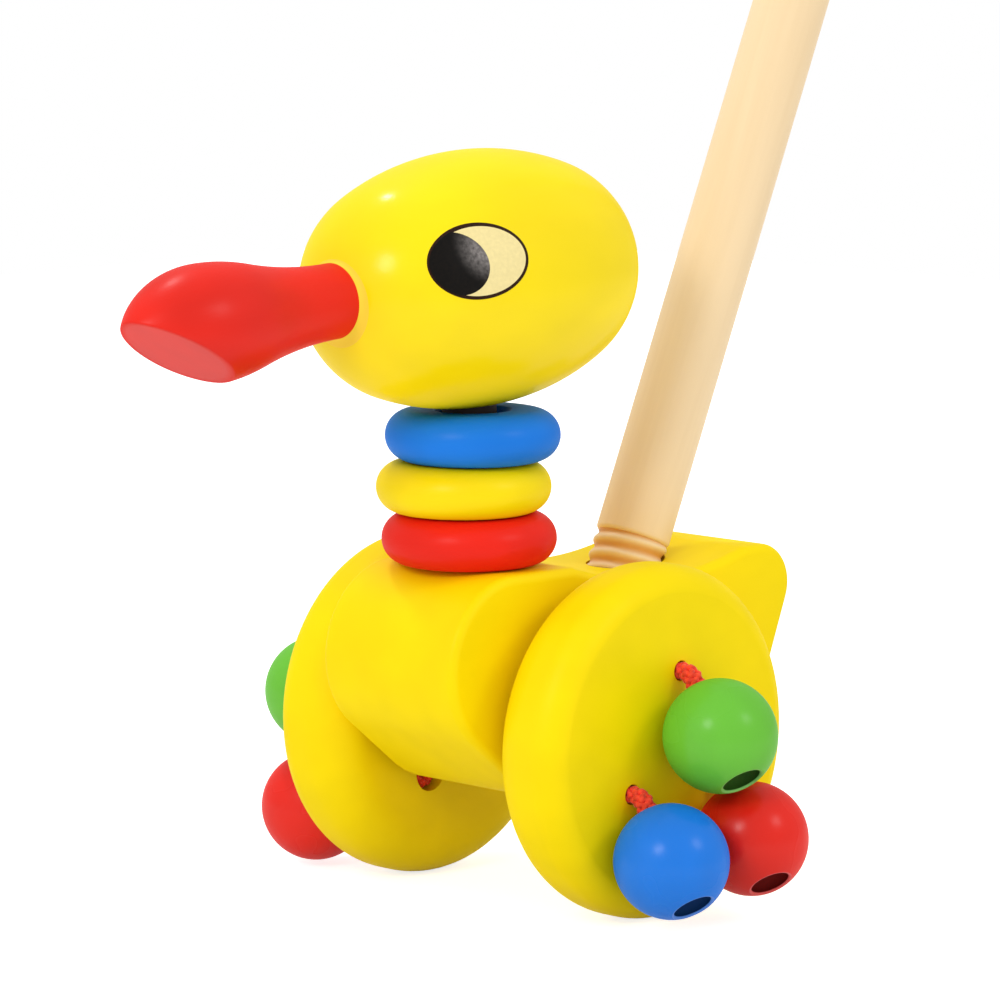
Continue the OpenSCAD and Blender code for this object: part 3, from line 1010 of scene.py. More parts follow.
class DUCK_OT_neck(Operator):
    """Builds the three loose neck rings, and finishes the dowel that carries them"""

    bl_idname = "duck.neck"
    bl_label = "Neck rings and dowel"

    def execute(self, context):
        duck = context.scene.duck
        for i, colour in enumerate(RING_COLOURS):
            mesh = turned_mesh("ring", ring_profile(duck.neck), MIDDLE_ROUND, closed=True)
            grain = (QUARTER_TURN, RING_GRAIN * i, 0)
            name = f"{colour.capitalize()} lacquer, ring"
            lacquer = lacquered_beech(name, getattr(duck.paint, colour), grain, RING_FILM)
            place = Matrix.Translation(joint_place(f"ring_{colour}_turn"))
            piece = place_piece(f"neck_ring_{colour}", mesh, lacquer, place)
            stand_for(piece, f"ring_{colour}")
        # The dowel is dark all over: painted shade for the gap under the head
        dowel_shade = [duck.paint.dowel] * 3
        shaded_dowel_birch = varnished_birch("Birch in painted shade, neck dowel", *dowel_shade, GRAIN_Z)
        dress(frame["nodes"]["neck_dowel"].data, shaded_dowel_birch)
        return {"FINISHED"}


# Head, eyes and beak

HEAD_STEPS = 24
PRINT_RINGS = 14
PRINT_SPOKES = 96
REFLECTION_GAIN = 1.1
WAIST_STEPS = 20
SWELL_STEPS = 14
NOSE_STEPS = 20
BEAK_ROWS = 60
SEAM_SIDES = 96
SEAM_STEPS = 6
SEAM_SUNK = 0.3 * MM

# Shares of the way over the cut's rounded edge, and from there to the cut's middle
CUT_EDGE = (0.2, 0.4, 0.6, 0.8, 1.0)
CUT_FLAT = (0.1, 0.4, 0.7)


def oval_side_r(a, b, end_r):
    """Radius of the long sides of an oval made of four arcs."""
    return ((a - end_r) ** 2 + b * b - end_r * end_r) / (2 * (b - end_r))


def oval_profile(a, b, end_r, steps):
    """Half of an oval made of four arcs, from its lower to its upper tip: radius, height."""
    side_r = oval_side_r(a, b, end_r)
    turn = math.atan2(a - end_r, side_r - b)
    low = arc((0, end_r - a), end_r, -QUARTER_TURN, -turn, steps)
    side = arc((b - side_r, 0), side_r, -turn, turn, 2 * steps)
    high = arc((0, a - end_r), end_r, turn, QUARTER_TURN, steps)
    points = [*low, *side[1:], *high[1:]]
    return [(max(p.x, 0.0), p.y) for p in points]


def oval_radius(a, b, end_r, height):
    """Radius of that oval at a height along its long axis."""
    side_r = oval_side_r(a, b, end_r)
    meet = (a - end_r) * (1 + end_r / (side_r - end_r))
    if abs(height) > meet:
        return math.sqrt(max(end_r**2 - (abs(height) - a + end_r) ** 2, 0))
    return b - side_r + math.sqrt(side_r**2 - height**2)


def head_frame(settings):
    """The head's own frame: Z to the beak, X down, Y to the duck's left."""
    middle = NECK + Vector((-settings.back, 0, RING_TOP + settings.gap + settings.across / 2))
    return Matrix.Translation(middle) @ Matrix.Rotation(QUARTER_TURN + settings.tilt, 4, "Y")


def on_head(settings, forward, up, lift):
    """A point on the head's left side, seen square from that side, raised by a lift."""
    radius = oval_radius(settings.long_side / 2, settings.across / 2, settings.end_r, forward)
    return Vector((-up, math.sqrt(max(radius**2 - up**2, 0)) + lift, forward))


def ellipse_reach(half_l, half_h, tilt, spot, direction):
    """Distance from a spot inside an ellipse to its edge, along a direction."""
    turn = Matrix.Rotation(-tilt, 2)
    p = turn @ spot
    d = turn @ direction
    p = Vector((p.x / half_l, p.y / half_h))
    d = Vector((d.x / half_l, d.y / half_h))
    k = p.dot(d)
    return (-k + math.sqrt(k * k - d.dot(d) * (p.dot(p) - 1))) / d.dot(d)


def print_layer(settings, name, centre, reach, lift):
    """A thin printed patch on the head; reach gives its edge's distance in each direction."""
    form = bmesh.new()
    middle = form.verts.new(on_head(settings, centre.x, centre.y, lift))
    rings = [[middle] * PRINT_SPOKES]
    for i in range(1, PRINT_RINGS + 2):
        share = min(i / PRINT_RINGS, 1)
        height = lift if i <= PRINT_RINGS else -settings.ink_t
        ring = []
        for a in circle(PRINT_SPOKES):
            d = Vector((math.cos(a), math.sin(a)))
            p = centre + d * reach(d) * share
            ring.append(form.verts.new(on_head(settings, p.x, p.y, height)))
        rings.append(ring)
    skin(form, rings)
    bmesh.ops.recalc_face_normals(form, faces=form.faces)
    if sum(face.normal.y * face.calc_area() for face in form.faces) < 0:
        bmesh.ops.reverse_faces(form, faces=form.faces)
    return bake(form, name, closed=False)


def mark_painted_reflection(mesh, settings):
    """Marks how strong the painted reflection is at each point of the pupil."""
    mark = mesh.attributes.new("shine", "FLOAT", "POINT")
    for vertex, value in zip(mesh.vertices, mark.data):
        step = math.hypot(vertex.co.z - settings.shine_forward, vertex.co.x + settings.shine_up)
        share = max(0.0, min(1.0, REFLECTION_GAIN * (1 - step / settings.shine_r)))
        value.value = share * share * (3 - 2 * share)


class DUCK_OT_head(Operator):
    """Builds the turned head"""

    bl_idname = "duck.head"
    bl_label = "Head"

    def execute(self, context):
        duck = context.scene.duck
        head = duck.head
        profile = oval_profile(head.long_side / 2, head.across / 2, head.end_r, HEAD_STEPS)
        mesh = turned_mesh("head", profile, LARGE_ROUND)
        lacquer = lacquered_beech("Yellow lacquer, head", duck.paint.yellow, GRAIN_X, HEAD_FILM)
        piece = place_piece("turned_head", mesh, lacquer, head_frame(head))
        stand_for(piece, "head")
        return {"FINISHED"}


class DUCK_OT_eyes(Operator):
    """Prints an eye on each side of the head, in three layers of ink"""

    bl_idname = "duck.eyes"
    bl_label = "Eyes"

    def execute(self, context):
        duck = context.scene.duck
        head = duck.head
        paints = duck.paint
        centre = Vector((head.eye_forward, head.eye_up))
        spot = Vector((head.pupil_forward, head.pupil_up))
        line = head.eye_line
        nowhere = Vector((0, 0))

        def edge(d, inset=0.0, start=nowhere):
            half_l, half_h = head.eye_l / 2 - inset, head.eye_h / 2 - inset
            return ellipse_reach(half_l, half_h, -head.eye_tilt, start, d)

        def ground(d):
            return edge(d, line)

        def pupil(d):
            own = ellipse_reach(head.pupil_l / 2, head.pupil_h / 2, 0, nowhere, d)
            return min(own, edge(d, line, spot - centre) + line / 2)

        layers = [
            (name, middle, reach, printed_ink(ink, hex_colour, speckle, paints.shine))
            for name, middle, reach, ink, hex_colour, speckle in (
                ("outline", centre, edge, "Dark printed ink, outline", paints.outline, 0.25),
                ("ground", centre, ground, "Cream printed ink", paints.eye_white, 0.04),
                ("pupil", spot, pupil, "Dark printed ink, pupil", paints.ink, 0.4),
            )
        ]
        for side, sign in SIDES.items():
            mirror = Matrix.Diagonal((1, sign, 1, 1))
            for i, (name, middle, reach, ink) in enumerate(layers, 1):
                mesh = print_layer(head, name, middle, reach, head.ink_t * i)
                # Only the pupil carries the painted reflection
                if name == "pupil":
                    mark_painted_reflection(mesh, head)
                piece = place_piece(f"eye_{side}_{name}", mesh, ink, mirror @ head_frame(head))
                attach(piece, "duck")
        return {"FINISHED"}


def beak_profile(head, beak):
    """Half section of the turned beak in the head's frame: radius, height along the beak."""
    root = head.long_side / 2
    bulb = root + beak.reach - beak.bulb_back
    curve = bulb - root
    step = beak.bulb_r - beak.root_r
    arcs_r = (curve * curve + step * step) / (2 * step)
    swell_r = beak.swell * arcs_r
    waist_r = arcs_r - swell_r
    turn = math.asin(curve / arcs_r)
    waist = arc((beak.root_r + waist_r, root), waist_r, math.pi, math.pi - turn, WAIST_STEPS)
    swell = arc((beak.bulb_r - swell_r, bulb), swell_r, -turn, 0, SWELL_STEPS)
    oval = oval_profile(beak.bulb_back, beak.bulb_r, beak.tip_r, NOSE_STEPS)
    nose = [(r, z + bulb) for r, z in oval if z > 1e-6]
    socket = root - beak.socket
    start = [(0, socket), (beak.root_r, socket)]
    return [*start, *map(tuple, waist), *map(tuple, swell[1:]), *nose]


def cut_beak_mesh(head, beak):
    """The beak with its flat cut, whose edge is rounded, in the beak's own frame."""
    profile = beak_profile(head, beak)[1:]
    tip = Vector((-beak.cut_rise, 0, head.long_side / 2 + beak.reach))
    turn = Matrix.Rotation(beak.cut_turn, 3, "Z") @ Matrix.Rotation(-beak.cut_angle, 3, "Y")
    normal = turn @ AXIS_X
    lines = []
    for a in circle(LARGE_ROUND):
        line = [Vector((r * math.cos(a), r * math.sin(a), z)) for r, z in profile]
        heights = [(p - tip).dot(normal) for p in line]
        n = next(i for i, h in enumerate(heights) if h > 0)
        edge = line[n - 1].lerp(line[n], heights[n - 1] / (heights[n - 1] - heights[n]))
        lines.append(line[:n] + [edge])
    middle = sum((line[-1] for line in lines), Vector()) / LARGE_ROUND
    form = bmesh.new()
    # The cut's flat middle gets a painted sheen, a lighter tone, through the lip mark
    sheen_layer = form.verts.layers.float.new("lip")
    columns = []
    for line in lines:
        edge = line[-1]
        inner = edge + (middle - edge).normalized() * beak.cut_round
        points = along_line(line, beak.cut_round, BEAK_ROWS)
        start = points[-1]
        points += [start.lerp(edge, t).lerp(edge.lerp(inner, t), t) for t in CUT_EDGE]
        flat = len(points)
        points += [inner.lerp(middle, t) for t in CUT_FLAT]
        columns.append([form.verts.new(p) for p in points])
        for vertex in columns[-1][flat:]:
            vertex[sheen_layer] = CUT_PAINTED_SHEEN
    root = form.verts.new((0, 0, profile[0][1]))
    centre = form.verts.new(middle)
    centre[sheen_layer] = CUT_PAINTED_SHEEN
    skin(form, [[root] * LARGE_ROUND, *zip(*columns), [centre] * LARGE_ROUND])
    return bake(form, "beak")


def seam_mesh(head, beak):
    """The ring of paint that pooled in the corner between head and beak, in the head's frame."""
    flat = head.long_side / 2 - head.end_r
    inside = beak.root_r - SEAM_SUNK
    form = bmesh.new()
    columns = []
    for a in circle(SEAM_SIDES):
        width = beak.seam_w + beak.seam_sag * math.cos(a)
        section = [
            (beak.root_r + width * (1 - math.cos(t)), beak.seam_h * (1 - math.sin(t)))
            for t in (QUARTER_TURN * i / SEAM_STEPS for i in range(SEAM_STEPS + 1))
        ]
        section += [(beak.root_r + width, -SEAM_SUNK), (inside, -SEAM_SUNK), (inside, beak.seam_h)]
        column = []
        for r, h in section:
            x, y = r * math.cos(a) - beak.lift, r * math.sin(a)
            z = flat + math.sqrt(head.end_r**2 - x * x - y * y)
            column.append(form.verts.new((x, y, z + h)))
        columns.append(column)
    skin(form, list(zip(*columns)), closed=True)
    return bake(form, "seam")


def along_line(line, spare, count):
    """Evenly spaced points along a line of points, ending a spare length before its end."""
    steps = [(q - p).length for p, q in zip(line, line[1:])]
    total = sum(steps) - spare
    points = []
    for i in range(count + 1):
        left = total * i / count
        n = 0
        while n < len(steps) - 1 and left > steps[n]:
            left -= steps[n]
            n += 1
        points.append(line[n].lerp(line[n + 1], left / steps[n]))
    return points


class DUCK_OT_beak(Operator):
    """Builds the turned beak with its flat cut and the paint pooled round its root"""

    bl_idname = "duck.beak"
    bl_label = "Beak"

    def execute(self, context):
        duck = context.scene.duck
        place = head_frame(duck.head) @ Matrix.Translation((-duck.beak.lift, 0, 0))
        lacquer = lacquered_beech("Red lacquer, beak", duck.paint.red, GRAIN_X, BEAK_FILM)
        piece = place_piece("turned_beak", cut_beak_mesh(duck.head, duck.beak), lacquer, place)
        stand_for(piece, "beak")
        lacquer = lacquered_beech("Yellow lacquer, beak seam", duck.paint.seam, GRAIN_Z)
        mesh = seam_mesh(duck.head, duck.beak)
        seam = place_piece("beak_seam", mesh, lacquer, head_frame(duck.head))
        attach(seam, "duck")
        return {"FINISHED"}


# Push stick

THREAD_ROWS = 24
SHAFT_ROWS = 24
SHOULDER_STEPS = 6
WELD = 0.001 * MM
KNOB_LIP = 0.8 * MM
KNOB_SOCKET_SHOWN = 4 * MM
KNOB_STEPS = 40


def thread_tree():
    """Geometry nodes that add a wooden thread below a plain stick."""
    sizes = dict.fromkeys(("Crest radius", "Thread depth", "Pitch", "Bottom", "Top"), "Float")
    tree, given = new_group("Wooden thread", {**sizes, "Rows": "Int", "Columns": "Int"})
    sheet = add_node(
        tree,
        "GeometryNodeMeshGrid",
        {
            "Size X": 1.0,
            "Size Y": 1.0,
            "Vertices X": given["Columns"],
            "Vertices Y": given["Rows"],
        },
    )
    spot = add_node(tree, "GeometryNodeInputPosition")
    axes = add_node(tree, "ShaderNodeSeparateXYZ", {0: spot}).outputs
    around = add_node(tree, "ShaderNodeMath", {0: axes["X"], 1: FULL_TURN}, operation="MULTIPLY")
    height = add_node(
        tree,
        "ShaderNodeMapRange",
        {
            "Value": axes["Y"],
            "From Min": -0.5,
            "From Max": 0.5,
            "To Min": given["Bottom"],
            "To Max": given["Top"],
        },
    )
    turns = add_node(tree, "ShaderNodeMath", {0: height, 1: given["Pitch"]}, operation="DIVIDE")
    phase = add_node(tree, "ShaderNodeMath", {0: turns, 1: FULL_TURN}, operation="MULTIPLY")
    lag = add_node(tree, "ShaderNodeMath", {0: phase, 1: around}, operation="SUBTRACT")
    wave = add_node(tree, "ShaderNodeMath", {0: lag}, operation="COSINE")
    groove = add_node(tree, "ShaderNodeMath", {0: wave, 1: -0.5, 2: 0.5}, operation="MULTIPLY_ADD")
    sunk = add_node(
        tree, "ShaderNodeMath", {0: groove, 1: given["Thread depth"]}, operation="MULTIPLY"
    )
    radius = add_node(
        tree, "ShaderNodeMath", {0: given["Crest radius"], 1: sunk}, operation="SUBTRACT"
    )
    cosine = add_node(tree, "ShaderNodeMath", {0: around}, operation="COSINE")
    sine = add_node(tree, "ShaderNodeMath", {0: around}, operation="SINE")
    x = add_node(tree, "ShaderNodeMath", {0: radius, 1: cosine}, operation="MULTIPLY")
    y = add_node(tree, "ShaderNodeMath", {0: radius, 1: sine}, operation="MULTIPLY")
    wrapped = add_node(tree, "ShaderNodeCombineXYZ", {"X": x, "Y": y, "Z": height})
    # The groove's depth is kept as a mark that the stick's material turns into painted shade
    marked = add_node(
        tree,
        "GeometryNodeStoreNamedAttribute",
        {"Geometry": sheet, "Name": "groove", "Value": groove},
        data_type="FLOAT",
        domain="POINT",
    )
    thread = add_node(tree, "GeometryNodeSetPosition", {"Geometry": marked, "Position": wrapped})
    seam = add_node(tree, "GeometryNodeMergeByDistance", {"Geometry": thread, "Distance": WELD})
    finish_group(tree, given["Material"], given["Geometry"], seam.outputs[0])
    return tree


def stick_profile(settings):
    """Half section of the plain stick above its thread."""
    low = settings.thread_show
    high = low + settings.plain_l
    r = settings.stick_r
    s = settings.shoulder
    shoulder = arc((r - s, low + s), s, -QUARTER_TURN, 0, SHOULDER_STEPS)
    rise = high - low - s
    shaft = [(r, low + s + rise * i / SHAFT_ROWS) for i in range(1, SHAFT_ROWS + 1)]
    return [(0, low), *map(tuple, shoulder), *shaft, (0, high)]


def knob_profile(settings, middle):
    """Half section of the knob with its socket's rounded lip."""
    r = settings.stick_r
    start = -QUARTER_TURN + math.asin((r + KNOB_LIP) / settings.knob_r)
    ball = arc((0, middle), settings.knob_r, start, QUARTER_TURN, KNOB_STEPS)
    mouth = ball[0].y + KNOB_LIP
    socket = [(r, mouth + KNOB_SOCKET_SHOWN), (r, mouth)]
    return [*socket, *map(tuple, ball[:-1]), (0, ball[-1].y)]


class DUCK_OT_stick(Operator):
    """Builds the push stick with its wooden thread, and its knob"""

    bl_idname = "duck.stick"
    bl_label = "Push stick and knob"

    def execute(self, context):
        duck = context.scene.duck
        stick = duck.stick
        place = stick_frame(stick, duck.body)
        grain = (0, stick.lean, 0)
        wood = (duck.paint.wood, duck.paint.wood_dark, duck.paint.thread)
        birch = varnished_birch("Varnished birch, stick", *wood, grain)
        span = stick.thread_show + stick.thread_in
        values = {
            "Crest radius": stick.stick_r - stick.thread_inset,
            "Thread depth": stick.thread_depth,
            "Pitch": stick.thread_pitch,
            "Bottom": -stick.thread_in,
            "Top": stick.thread_show + stick.shoulder,
            "Rows": int(span / stick.thread_pitch * THREAD_ROWS),
            "Columns": STICK_ROUND + 1,
            "Material": birch,
        }
        plain = turned_mesh("stick", stick_profile(stick), STICK_ROUND)
        mesh = grow("stick", plain, thread_tree(), values)
        soften(mesh)
        piece = place_piece("push_stick", mesh, birch, place)
        stand_for(piece, "stick")
        reach = math.sqrt(stick.knob_r**2 - stick.stick_r**2)
        middle = stick.thread_show + stick.plain_l - stick.knob_socket + reach
        mesh = turned_mesh("knob", knob_profile(stick, middle), MIDDLE_ROUND)
        piece = place_piece("stick_knob", mesh, birch, place)
        stand_for(piece, "knob")
        return {"FINISHED"}


# Beads

BALL_STEPS = 48

# Shares of a lip's rounding within which a point counts as on the bore's wall, or on the ball
ON_WALL = 0.02
ON_BALL = 0.01


def bead_joints():
    """Each bead's side and colour, and the names of its cord's joint and its own."""
    for side in SIDES:
        for colour in BEAD_COLOURS:
            yield side, colour, f"{side}_{colour}_swing", f"{side}_{colour}_spin"


def bead_profile(settings, radius):
    """Closed half section of a bead: the cord's bore below its middle, the knot's above."""
    lip = settings.lip

    def mouth(bore):
        turn = math.asin((bore + lip) / (radius - lip))
        return turn, math.cos(turn) * (radius - lip)

    low_turn, low_z = mouth(settings.bore_r)
    high_turn, high_z = mouth(settings.wide_r)
    ball = arc((0, 0), radius, low_turn - QUARTER_TURN, QUARTER_TURN - high_turn, BALL_STEPS)
    low_lip = (settings.bore_r + lip, -low_z)
    high_lip = (settings.wide_r + lip, high_z)
    low = arc(low_lip, lip, -2 * QUARTER_TURN, low_turn - QUARTER_TURN, LIP_STEPS)
    high = arc(high_lip, lip, QUARTER_TURN - high_turn, 2 * QUARTER_TURN, LIP_STEPS)
    walls = Vector((settings.bore_r, 0)), Vector((settings.wide_r, 0))
    return [tuple(p) for p in (walls[0], *low, *ball[1:-1], *high, walls[1])]


def mark_bead(mesh, settings, radius):
    """Marks the walls of a bead's bores for painted shade, and the lips at their mouths for a painted highlight.
    """
    bore = mesh.attributes.new("bore", "FLOAT", "POINT")
    lip = mesh.attributes.new("lip", "FLOAT", "POINT")
    for vertex, wall, edge in zip(mesh.vertices, bore.data, lip.data):
        wide = settings.wide_r if vertex.co.z > 0 else settings.bore_r
        out = vertex.co.xy.length - wide
        # A bore's wall gets painted shade
        wall.value = float(out < ON_WALL * settings.lip)
        on_ball = vertex.co.length >= radius - ON_BALL * settings.lip
        # A lip between the wall and the ball gets a painted highlight
        edge.value = LIP_PAINTED_HIGHLIGHT * (ON_WALL * settings.lip < out and not on_ball)


class DUCK_OT_beads(Operator):
    """Builds the six ball beads"""

    bl_idname = "duck.beads"
    bl_label = "Beads"

    def execute(self, context):
        duck = context.scene.duck
        for side, colour, _, spin in bead_joints():
            node = f"bead_{side}_{colour}"
            middle = joint_place(spin)
            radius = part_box(node)[1].x - middle.x
            place = frame_to(middle, joint_axis(spin), AXIS_X)
            grain = place.to_3x3().inverted().to_euler()
            name = f"{colour.capitalize()} lacquer, {side} bead"
            lacquer = lacquered_beech(name, getattr(duck.paint, colour), grain, BEAD_FILM)
            profile = bead_profile(duck.bead, radius)
            mesh = turned_mesh("bead", profile, MIDDLE_ROUND, closed=True)
            mark_bead(mesh, duck.bead, radius)
            piece = place_piece(f"{side}_{colour}_ball", mesh, lacquer, place)
            stand_for(piece, node)
        return {"FINISHED"}


# Cords

# Shares of the cord's radius: the lay of its strands, and a strand
LAY_SHARE = 0.57
STRAND_SHARE = 0.29
STRAND_SIDES = 8
CORE_SIDES = 12
BRAID_STEP = 0.2 * MM
STRAIGHT_STEPS = 8
BEND_STEPS = 10
WRAP_STEPS = 40

# Height of a knot's fold, as a share of its width
FOLD_SHARE = 0.6


def braid_tree():
    """Geometry nodes that braid strands round a path."""
    names = ("Lay radius", "Wave", "Strand radius", "Core radius", "Pitch", "Step")
    tree, given = new_group("Braided cord", {"Strands": "Int", **dict.fromkeys(names, "Float")})
    path = add_node(tree, "GeometryNodeMeshToCurve", {"Mesh": given["Geometry"]})
    even = add_node(
        tree, "GeometryNodeResampleCurve", {"Curve": path, "Length": given["Step"]}, mode="LENGTH"
    )
    squeeze, strand = [
        add_node(tree, "GeometryNodeInputNamedAttribute", {"Name": mark}, data_type="FLOAT")
        for mark in ("squeeze", "strand")
    ]
    slim = add_node(tree, "GeometryNodeSetCurveRadius", {"Curve": even, "Radius": squeeze})
    twice = add_node(tree, "ShaderNodeMath", {0: given["Strands"], 1: 2.0}, operation="MULTIPLY")
    copies = add_node(
        tree,
        "GeometryNodeDuplicateElements",
        {"Geometry": slim, "Amount": twice},
        domain="SPLINE",
    ).outputs
    numbered = add_node(
        tree,
        "GeometryNodeStoreNamedAttribute",
        {"Geometry": copies["Geometry"], "Name": "strand", "Value": copies["Duplicate Index"]},
        data_type="FLOAT",
        domain="CURVE",
    )
    travelled = add_node(tree, "GeometryNodeSplineParameter").outputs["Length"]
    measured = add_node(
        tree,
        "GeometryNodeStoreNamedAttribute",
        {"Geometry": numbered, "Name": "along", "Value": travelled},
        data_type="FLOAT",
        domain="POINT",
    )
    odd = add_node(tree, "ShaderNodeMath", {0: strand, 1: 2.0}, operation="MODULO")
    way = add_node(tree, "ShaderNodeMath", {0: odd, 1: -2.0, 2: 1.0}, operation="MULTIPLY_ADD")
    half = add_node(tree, "ShaderNodeMath", {0: strand, 1: 0.5}, operation="MULTIPLY")
    lane = add_node(tree, "ShaderNodeMath", {0: half}, operation="FLOOR")
    share = add_node(tree, "ShaderNodeMath", {0: lane, 1: given["Strands"]}, operation="DIVIDE")
    turns = add_node(tree, "ShaderNodeMath", {0: travelled, 1: given["Pitch"]}, operation="DIVIDE")
    swept = add_node(
        tree, "ShaderNodeMath", {0: turns, 1: way, 2: share}, operation="MULTIPLY_ADD"
    )
    theta = add_node(tree, "ShaderNodeMath", {0: swept, 1: FULL_TURN}, operation="MULTIPLY")
    crossings = add_node(
        tree, "ShaderNodeMath", {0: turns, 1: given["Strands"]}, operation="MULTIPLY"
    )
    beat = add_node(tree, "ShaderNodeMath", {0: crossings, 1: FULL_TURN}, operation="MULTIPLY")
    over = add_node(tree, "ShaderNodeMath", {0: beat}, operation="COSINE")
    signed = add_node(tree, "ShaderNodeMath", {0: over, 1: way}, operation="MULTIPLY")
    loose = add_node(
        tree,
        "ShaderNodeMath",
        {0: signed, 1: given["Wave"], 2: given["Lay radius"]},
        operation="MULTIPLY_ADD",
    )
    radius = add_node(tree, "ShaderNodeMath", {0: loose, 1: squeeze}, operation="MULTIPLY")
    normal = add_node(tree, "GeometryNodeInputNormal")
    tangent = add_node(tree, "GeometryNodeInputTangent")
    side = add_node(
        tree, "ShaderNodeVectorMath", {0: tangent, 1: normal}, operation="CROSS_PRODUCT"
    )
    cosine = add_node(tree, "ShaderNodeMath", {0: theta}, operation="COSINE")
    sine = add_node(tree, "ShaderNodeMath", {0: theta}, operation="SINE")
    out_n = add_node(tree, "ShaderNodeVectorMath", {0: normal, "Scale": cosine}, operation="SCALE")
    out_s = add_node(tree, "ShaderNodeVectorMath", {0: side, "Scale": sine}, operation="SCALE")
    out = add_node(tree, "ShaderNodeVectorMath", {0: out_n, 1: out_s}, operation="ADD")
    offset = add_node(tree, "ShaderNodeVectorMath", {0: out, "Scale": radius}, operation="SCALE")
    laid = add_node(tree, "GeometryNodeSetPosition", {"Geometry": measured, "Offset": offset})
    tubes = []
    for curve, sides, size in ((laid, STRAND_SIDES, "Strand"), (slim, CORE_SIDES, "Core")):
        ring = add_node(
            tree,
            "GeometryNodeCurvePrimitiveCircle",
            {"Resolution": sides, "Radius": given[f"{size} radius"]},
        )
        tube = add_node(
            tree,
            "GeometryNodeCurveToMesh",
            {"Curve": curve, "Profile Curve": ring, "Scale": squeeze, "Fill Caps": True},
        )
        tubes.append(tube.outputs[0])
    finish_group(tree, given["Material"], *tubes)
    return tree


def knot_points(settings):
    """Path of a stopper knot along Z: out through its middle, then back round itself to its end."""
    slim = settings.cord_r * settings.squeeze
    ring = 2 * slim
    top = settings.knot_l - slim
    steps = STRAIGHT_STEPS
    core = [Vector((0, 0, top * i / steps)) for i in range(steps + 1)]
    fold = [
        Vector((slim * (1 - math.cos(a)), 0, top + FOLD_SHARE * slim * math.sin(a)))
        for a in (math.pi * i / steps for i in range(1, steps))
    ]
    wrap = []
    for i in range(WRAP_STEPS + 1):
        share = i / WRAP_STEPS
        a = FULL_TURN * settings.knot_turns * share
        height = top - (top - slim) * share
        wrap.append(Vector((ring * math.cos(a), ring * math.sin(a), height)))
    return core + fold + wrap


def cord_path(settings, wheel, mouth, out, middle, hang):
    """Points of a cord from its knot in the wheel to its knot in the bead, with their squeeze."""
    lean = math.acos(max(-1.0, min(1.0, hang.dot(out))))
    down = (hang - out * math.cos(lean)).normalized()
    r = settings.bend_r
    fall = (middle - mouth).dot(down)
    reach = (middle - mouth).dot(out)
    straight = (fall - r * (1 - math.cos(lean))) / math.sin(lean)
    start = mouth + out * (reach - r * math.sin(lean) - straight * math.cos(lean))
    inner = mouth - out * (WHEEL_T - wheel.pocket_depth + settings.end_gap)
    knot = knot_points(settings)
    slim = settings.squeeze
    nip = settings.nip
    steps = [i / STRAIGHT_STEPS for i in range(1, STRAIGHT_STEPS + 1)]
    back = frame_to(inner, -out, down)
    points = [(back @ p, slim) for p in reversed(knot)]
    points += [(inner.lerp(start, t), nip) for t in steps]
    bend = start + down * r
    for i in range(1, BEND_STEPS + 1):
        a = lean * i / BEND_STEPS
        width = nip + (1 - nip) * i / BEND_STEPS
        points.append((bend + out * r * math.sin(a) - down * r * math.cos(a), width))
    bend_end = points[-1][0]
    points += [(bend_end.lerp(middle, t), 1.0) for t in steps]
    ahead = frame_to(middle + hang * settings.end_gap, hang, down)
    points += [(ahead @ p, slim) for p in knot]
    return zip(*points)


class DUCK_OT_cords(Operator):
    """Braids the six bead cords, each from its knot in the wheel to its knot in the bead"""

    bl_idname = "duck.cords"
    bl_label = "Cords"

    def execute(self, context):
        duck = context.scene.duck
        cord = duck.cord
        tree = braid_tree()
        braid = polyester_braid("Braided polyester cord", duck.paint.cord)
        lay = LAY_SHARE * cord.cord_r
        strand_r = STRAND_SHARE * cord.cord_r
        values = {
            "Strands": cord.strands,
            "Lay radius": lay,
            "Wave": cord.cord_r - lay - strand_r,
            "Strand radius": strand_r,
            "Core radius": lay,
            "Pitch": cord.pitch,
            "Step": BRAID_STEP,
            "Material": braid,
        }
        for side, colour, swing, spin in bead_joints():
            out = Vector((0, SIDES[side], 0))
            ends = joint_place(swing), out, joint_place(spin), joint_axis(spin)
            points, squeeze = cord_path(cord, duck.wheel, *ends)
            mesh = bpy.data.meshes.new("cord_path")
            mesh.from_pydata(points, [(i, i + 1) for i in range(len(points) - 1)], [])
            slim = mesh.attributes.new("squeeze", "FLOAT", "POINT")
            slim.data.foreach_set("value", squeeze)
            result = grow("cord", mesh, tree, values)
            result.shade_smooth()
            piece = place_piece(f"{side}_{colour}_braid", result, braid)
            stand_for(piece, f"cord_{side}_{colour}")
        return {"FINISHED"}


# Stage

SENSOR_WIDTH = 36
FLOOR_HALF = 1.2
FLOOR_CELLS = 4
PAPER_GLOW = 0.75

# The world's strength as light, and as the camera and reflections see it
SKY_LIGHT = 0.84
SKY_SEEN = 1.0

# Each lamp's direction from the target, as the camera sees it: right, up and near; then its
# distance and size in metres, and its power in watts
LAMPS = {
    "key_lamp": (-0.42, 0.4, 0.82, 1.3, 0.3, 3.7),
    "left_lamp": (-0.8, 0.12, 0.57, 1.3, 1.0, 0.7),
    "right_lamp": (0.74, 0.49, 0.46, 1.4, 0.36, 2.4),
    "top_lamp": (-0.27, 0.93, -0.25, 1.3, 0.1, 3.5),
}


def aim(thing, place, direction):
    """Puts a camera or lamp at a place, looking in a direction."""
    thing.location = place
    thing.rotation_mode = "QUATERNION"
    thing.rotation_quaternion = direction.to_track_quat("-Z", "Y")


def area_lamp(name, place, target, size, power):
    """A square soft lamp that faces a point."""
    lamp = bpy.data.lights.new(name, "AREA")
    lamp.shape = "SQUARE"
    lamp.size = size
    lamp.energy = power
    aim(add_object(name, lamp), place, target - place)


